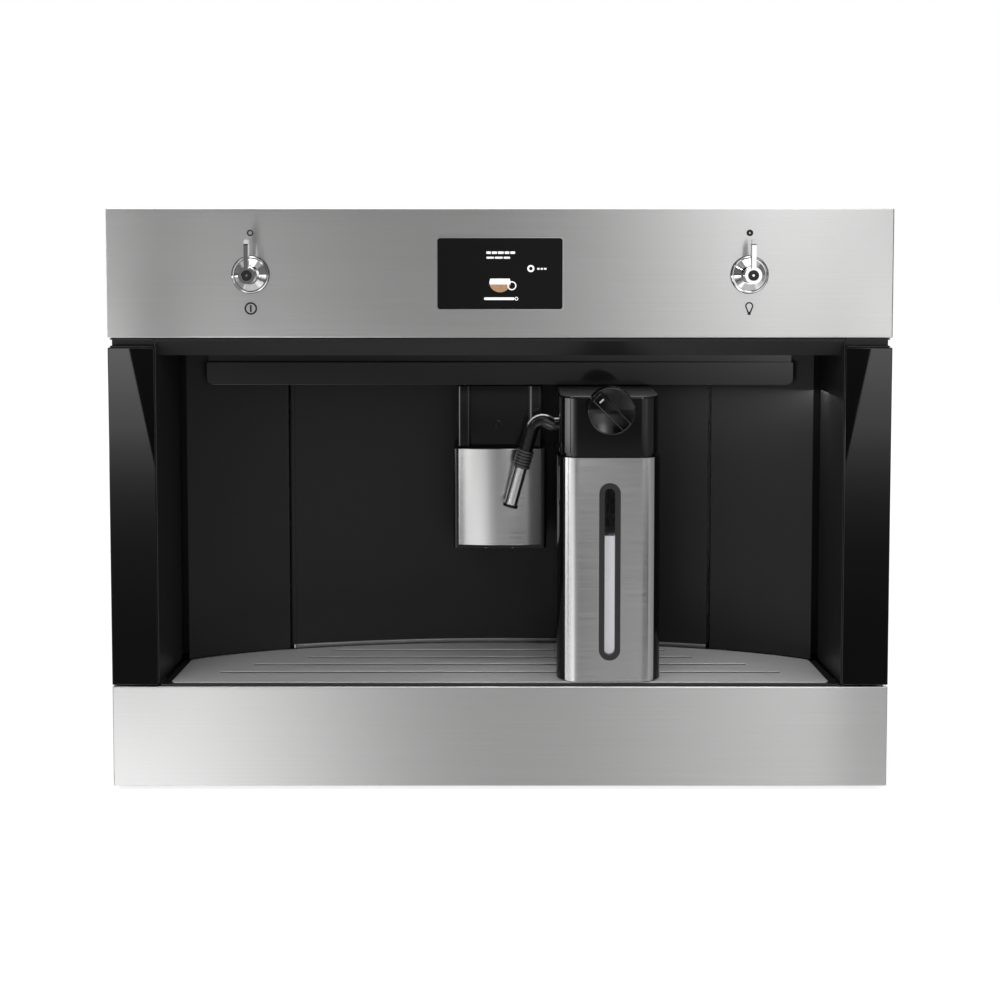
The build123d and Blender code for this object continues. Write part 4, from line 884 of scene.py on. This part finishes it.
class COFFEE_OT_sheet(Operator):
    """Presses stiffening beads into the housing and puts its bare type plate on"""

    bl_idname = "coffee.sheet"
    bl_label = "Pressed sheet metal"

    def execute(self, context):
        beads = bmesh.new()
        side_y, side_z, top_y = 218.0, 212.0, 205.0
        for side in (-1, 1):
            draw_bead(beads, on_side(side, side_y, side_z), 125.0, 104.0, 26.0, 9.0, 1.3)
            for step in (-40.0, 0.0, 40.0):
                draw_bead(beads, on_side(side, side_y, side_z + step), 92.0, 9.5, 9.4, 9.3, 1.1)
        for x, half_width in ((-90.0, 58.0), (192.0, 52.0)):
            draw_bead(beads, on_top(x, top_y), half_width, 130.0, 20.0, 8.0, 1.2)
        add_piece("pressed_beads", "machine", "chassis steel", beads, 40.0)
        plate, lines = bmesh.new(), bmesh.new()
        plate_y, plate_z = 292.0, 84.0
        draw_bar(plate, on_side(1, plate_y, plate_z), 48.0, 22.0, 0.5, 2.0)
        add_piece("type_plate", "machine", "white moulding", plate)
        for y, z, width, height in PLATE_PRINT:
            draw_bar(lines, on_side(1, plate_y + y, plate_z + z), width, height, 0.62)
        add_piece("type_plate_print", "machine", "black print", lines)
        return {"FINISHED"}


# sockets of the control board, from its left edge: (place, width)
SOCKETS = ((24.0, 12.0), (42.0, 16.0), (63.0, 18.0), (84.0, 12.0), (103.0, 14.0))
# capacitors, from its left lower corner: (place, height above, radius, depth)
CAPACITORS = (
    (24.0, 96.0, 5.0, 15.0), (37.0, 96.0, 5.0, 15.0), (49.0, 99.0, 3.2, 9.0),
    (58.0, 99.0, 3.2, 9.0), (124.0, 30.0, 4.0, 12.0), (124.0, 42.0, 4.0, 12.0),
)
# chips and relays, from its left lower corner: (place, height above, width, height, depth)
CHIPS = (
    (78.0, 92.0, 13.0, 13.0, 1.8), (100.0, 94.0, 18.0, 9.0, 1.6), (123.0, 94.0, 15.0, 19.0, 13.0),
    (123.0, 70.0, 15.0, 19.0, 13.0), (10.0, 70.0, 6.0, 10.0, 1.5), (10.0, 52.0, 6.0, 10.0, 1.5),
)


class COFFEE_OT_board(Operator):
    """Fits sockets, capacitors, relays and chips to the control board"""

    bl_idname = "coffee.board"
    bl_label = "Control board"

    def execute(self, context):
        low, high = (measured(corner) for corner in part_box("control_board"))
        front, socket_z = high.y - 8.6, low.z + 10.0
        sockets, cans, tops, chips = bmesh.new(), bmesh.new(), bmesh.new(), bmesh.new()
        for x, width in SOCKETS:
            draw_bar(sockets, on_face(low.x + x, front - 4.0, socket_z), width, 7.5, 8.0, 0.8)
            for pin in (-3.5, 0.0, 3.5):
                draw_bar(chips, on_face(low.x + x + pin, front - 8.05, socket_z), 1.6, 4.4, 0.3)
        for x, z, radius, depth in CAPACITORS:
            draw_disc(cans, on_face(low.x + x, front - depth / 2, low.z + z), radius, depth)
            draw_disc(tops, on_face(low.x + x, front - depth, low.z + z), radius * 0.86, 0.3)
        for x, z, width, height, depth in CHIPS:
            draw_bar(chips, on_face(low.x + x, front - depth / 2, low.z + z), width, height, depth, 0.5)
        for name, finish, slot, shape in (
            ("sockets", "white moulding", "white_moulding", sockets),
            ("capacitors", "black satin", "black_satin", cans),
            ("capacitor_tops", "cast aluminium", "cast_aluminium", tops),
            ("chips", "dark grey plastic", "dark_grey", chips),
        ):
            add_piece("board_" + name, "machine", finish, shape)
        return {"FINISHED"}


# ---- studio

# soft boxes that metal and gloss mirror: (from this height, over this much height, tones from left to right)
LIGHT_BANDS = (
    (-2.0, 0.1, ((-1.0, 0.5), (0.0, 0.65), (1.0, 0.5))),
    (-0.85, 0.1, (
        (-1.0, 0.3), (-0.6, 0.3), (-0.36, 2.3), (-0.25, 3.5), (-0.15, 2.3), (-0.05, 0.53), (0.03, 0.42),
        (0.13, 0.9), (0.2, 1.28), (0.3, 1.9), (0.4, 1.2), (1.0, 0.4),
    )),
    (-0.44, 0.1, (
        (-1.0, 0.3), (-0.9, 0.5), (-0.8, 1.1), (-0.55, 0.95), (-0.36, 1.3), (-0.25, 1.1), (-0.15, 0.6),
        (-0.05, 0.38), (0.03, 0.38), (0.1, 0.36), (0.17, 0.15), (0.23, 0.07), (0.36, 0.08), (0.5, 0.25),
        (0.66, 0.5), (0.8, 0.4), (1.0, 0.3),
    )),
    (-0.165, 0.02, (
        (-1.0, 3.0), (-0.9, 4.8), (-0.76, 5.0), (-0.6, 4.0), (-0.46, 1.5), (-0.36, 0.7), (-0.2, 0.3),
        (-0.04, 0.1), (0.1, 0.1), (0.2, 0.5), (0.45, 0.9), (0.6, 0.7), (0.8, 0.4), (1.0, 0.3),
    )),
    (-0.115, 0.03, (
        (-1.0, 0.1), (-0.6, 0.15), (-0.3, 0.5), (-0.22, 0.2), (-0.12, 0.1), (0.0, 0.4), (0.12, 0.8),
        (0.2, 1.7), (0.28, 1.3), (0.4, 0.3), (0.65, 0.15), (1.0, 0.1),
    )),
    (0.0, 0.12, (
        (-1.0, 0.2), (-0.6, 0.1), (-0.3, 0.25), (-0.2, 0.0), (-0.05, 0.0), (0.04, 0.02), (0.13, 1.0),
        (0.19, 3.9), (0.23, 3.1), (0.28, 0.6), (0.34, 0.1), (1.0, 0.2),
    )),
    (0.5, 0.2, ((-1.0, 0.9), (-0.4, 0.3), (0.3, 0.3), (1.0, 0.9))),
    (0.78, 0.08, ((-0.66, 3.2), (0.0, 3.0), (0.3, 2.0), (0.66, 1.2))),
)
BRIGHTEST_BAND = 5.0

# tones of the card beside the camera: (height in metres, tone)
CARD_TONES = (
    (0.0, 0.1), (0.043, 0.13), (0.0956, 0.19), (0.1217, 0.27), (0.148, 0.4), (0.174, 0.63), (0.2, 1.0),
    (0.226, 1.53), (0.2525, 1.85), (0.2786, 2.27), (0.305, 2.6),
)
CARD_TOP = 0.32
BRIGHTEST_CARD = 3.0


class COFFEE_OT_studio(Operator):
    """Sets up the camera, the pale floor and the soft light"""

    bl_idname = "coffee.studio"
    bl_label = "Studio"

    def execute(self, context):
        scene = context.scene
        studio = scene.coffee_machine.studio
        scene.view_settings.view_transform = "Standard"
        self.make_camera(scene, studio)
        self.make_floor()
        self.make_world(scene)
        for side, share in ((-1.0, 1.0), (1.0, 0.75)):
            self.make_card(side, share)
        aim = (0.0, 0.0, 0.2)
        for name, place, power, size in (
            ("key lamp", (-1.5, -2.2, 2.3), studio.key_power, 1.6),
            ("fill lamp", (2.2, -1.2, 1.6), studio.fill_power, 1.8),
            ("back lamp", (0.6, 2.6, 2.2), studio.fill_power, 1.8),
        ):
            self.hang_lamp(name, place, power, size, aim).visible_glossy = False
        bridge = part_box("upper_bridge")[0]
        under = (0.13, bridge.y - 0.012, bridge.z - 0.004)
        tray_lamp = self.hang_lamp("tray lamp", under, studio.tray_power, 0.34).data
        tray_lamp.shape = "RECTANGLE"
        tray_lamp.size_y = 0.02
        self.hang_lamp("glint lamp", (-1.2, -1.4, 1.35), 1.6, 0.22, (0.0, 0.0, 0.3))
        return {"FINISHED"}

    def make_camera(self, scene, studio):
        """The camera in front of the machine."""
        camera = bpy.data.objects.new("camera", bpy.data.cameras.new("camera"))
        scene.collection.objects.link(camera)
        camera.data.lens = studio.lens
        camera.data.sensor_width = 36.0
        camera.data.shift_y = studio.shift
        camera.data.clip_start = 0.02
        camera.location = (0.0, studio.eye_y, studio.eye_z)
        camera.rotation_euler = (math.pi / 2 - studio.tilt, 0.0, 0.0)
        scene.camera = camera

    def hang_lamp(self, name, place, power, size, target=None):
        """A soft lamp turned to a target, or facing down without one."""
        lamp = bpy.data.objects.new(name, bpy.data.lights.new(name, "AREA"))
        bpy.context.scene.collection.objects.link(lamp)
        lamp.data.energy = power
        lamp.data.size = size
        lamp.location = place
        if target:
            lamp.rotation_euler = (Vector(target) - Vector(place)).to_track_quat("-Z", "Y").to_euler()
        return lamp

    def make_floor(self):
        """A floor that looks white to the camera and keeps the object's shadow."""
        tree = new_finish("pale floor", Base_Color=grey(0.8), Roughness=0.9, Specular_IOR_Level=0.0)
        seen = node(tree, "LightPath").outputs["Is Camera Ray"]
        glow = node(tree, "Math", seen, 0.58, operation="MULTIPLY")
        surface(tree, Emission_Color=grey(1.0), Emission_Strength=glow)
        shape = bmesh.new()
        under = Matrix.Translation((0.0, 0.0, -0.5 * MM))
        bmesh.ops.create_grid(shape, x_segments=8, y_segments=8, size=6.0, matrix=under)
        floor = new_object("floor", bpy.data.materials["pale floor"], shape)
        floor.visible_glossy = False

    def make_card(self, side, share):
        """A soft box beside the camera that only the side panes mirror: brighter above, one edge slants."""
        material = bpy.data.materials.new("soft box")
        material.use_nodes = True
        tree = material.node_tree
        edge_x, edge_z, slope, blur = 0.357, 0.174, 0.206, 0.0005
        place = node(tree, "SeparateXYZ", own_place(tree)).outputs
        height = node(tree, "MapRange", place["Z"], From_Max=CARD_TOP)
        tones = ramp(tree, height, [(z / CARD_TOP, tone / BRIGHTEST_CARD) for z, tone in CARD_TONES])
        lean = node(tree, "Math", place["Z"], -slope, slope * edge_z - edge_x, operation="MULTIPLY_ADD")
        inwards = node(tree, "Math", place["X"], side, lean, operation="MULTIPLY_ADD")
        power = node(
            tree, "MapRange", inwards, From_Min=-blur, From_Max=blur, To_Min=0.08,
            To_Max=BRIGHTEST_CARD * share,
        )
        feed(tree, tree.nodes["Material Output"].inputs["Surface"], node(tree, "Emission", tones, power))
        shape = bmesh.new()
        stand = Matrix.Translation((side * 0.4, FACE_Y - 0.4, 0.131))
        size = Matrix.Diagonal((0.1, 1.0, 0.362, 1.0))
        turn = Matrix.Rotation(math.pi / 2, 4, "X")
        bmesh.ops.create_grid(shape, x_segments=1, y_segments=1, size=0.5, matrix=stand @ size @ turn)
        card = new_object("soft box", material, shape)
        for rays in ("camera", "diffuse", "transmission", "volume_scatter", "shadow"):
            setattr(card, "visible_" + rays, False)

    def make_world(self, scene):
        """Surroundings that are white to the camera, plain to rough surfaces and banded to mirrors."""
        scene.world = bpy.data.worlds.new("studio")
        scene.world.use_nodes = True
        tree = scene.world.node_tree
        place = node(tree, "SeparateXYZ", node(tree, "TexCoord").outputs["Generated"]).outputs
        across = node(tree, "MapRange", place["X"], From_Min=-1.0)
        bands = None
        for low, over, stops in LIGHT_BANDS:
            shares = [((spot + 1.0) / 2.0, tone / BRIGHTEST_BAND) for spot, tone in stops]
            band = node(tree, "Math", ramp(tree, across, shares), BRIGHTEST_BAND, operation="MULTIPLY")
            if bands is not None:
                step = node(
                    tree, "MapRange", place["Z"], interpolation_type="SMOOTHSTEP", From_Min=low,
                    From_Max=low + over,
                )
                band = mixed(tree, step, bands, band)
            bands = band
        path = node(tree, "LightPath").outputs
        mirrored = mixed(tree, path["Is Glossy Ray"], 0.55, bands)
        strength = mixed(tree, path["Is Camera Ray"], mirrored, 1.0)
        feed(tree, tree.nodes["Background"].inputs["Color"], grey(1.0))
        feed(tree, tree.nodes["Background"].inputs["Strength"], strength)


OPERATORS = (
    COFFEE_OT_effects, COFFEE_OT_face, COFFEE_OT_display, COFFEE_OT_knobs, COFFEE_OT_niche, COFFEE_OT_spout,
    COFFEE_OT_carafe, COFFEE_OT_tray, COFFEE_OT_housing, COFFEE_OT_sheet, COFFEE_OT_board, COFFEE_OT_studio,
)


class CoffeeMachineSettings(PropertyGroup):
    steel: PointerProperty(type=SteelSettings, name="Steel", description="The brushed steel")
    gloss: PointerProperty(type=GlossSettings, name="Gloss", description="The black mouldings")
    display: PointerProperty(type=DisplaySettings, name="Display", description="The lit signs")
    carafe: PointerProperty(type=CarafeSettings, name="Carafe", description="The milk carafe")
    studio: PointerProperty(type=StudioSettings, name="Studio", description="Camera and lamps")


class COFFEE_PT_panel(Panel):
    """Lists the settings and the steps"""

    bl_idname = "COFFEE_PT_panel"
    bl_label = "Coffee Machine"
    bl_space_type = "VIEW_3D"
    bl_region_type = "UI"
    bl_category = "Coffee Machine"

    def draw(self, context):
        machine = context.scene.coffee_machine
        for part in ("steel", "gloss", "display", "carafe", "studio"):
            box = self.layout.box()
            box.label(text=part.capitalize())
            group = getattr(machine, part)
            for prop in group.bl_rna.properties:
                if prop.identifier not in ("rna_type", "name"):
                    box.prop(group, prop.identifier)
        for operator in OPERATORS:
            self.layout.operator(operator.bl_idname)


CLASSES = (*GROUPS, CoffeeMachineSettings, *OPERATORS, COFFEE_PT_panel)


def register():
    """Makes the settings, steps and panel known."""
    for cls in CLASSES:
        bpy.utils.register_class(cls)
    bpy.types.Scene.coffee_machine = PointerProperty(type=CoffeeMachineSettings)


def unregister():
    """Takes them back in the opposite order."""
    del bpy.types.Scene.coffee_machine
    for cls in reversed(CLASSES):
        bpy.utils.unregister_class(cls)


def main():
    """Registers everything and runs each step in order."""
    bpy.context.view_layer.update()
    register()
    for operator in OPERATORS:
        group, name = operator.bl_idname.split(".")
        getattr(getattr(bpy.ops, group), name)()


if __name__ == "__main__":
    main()
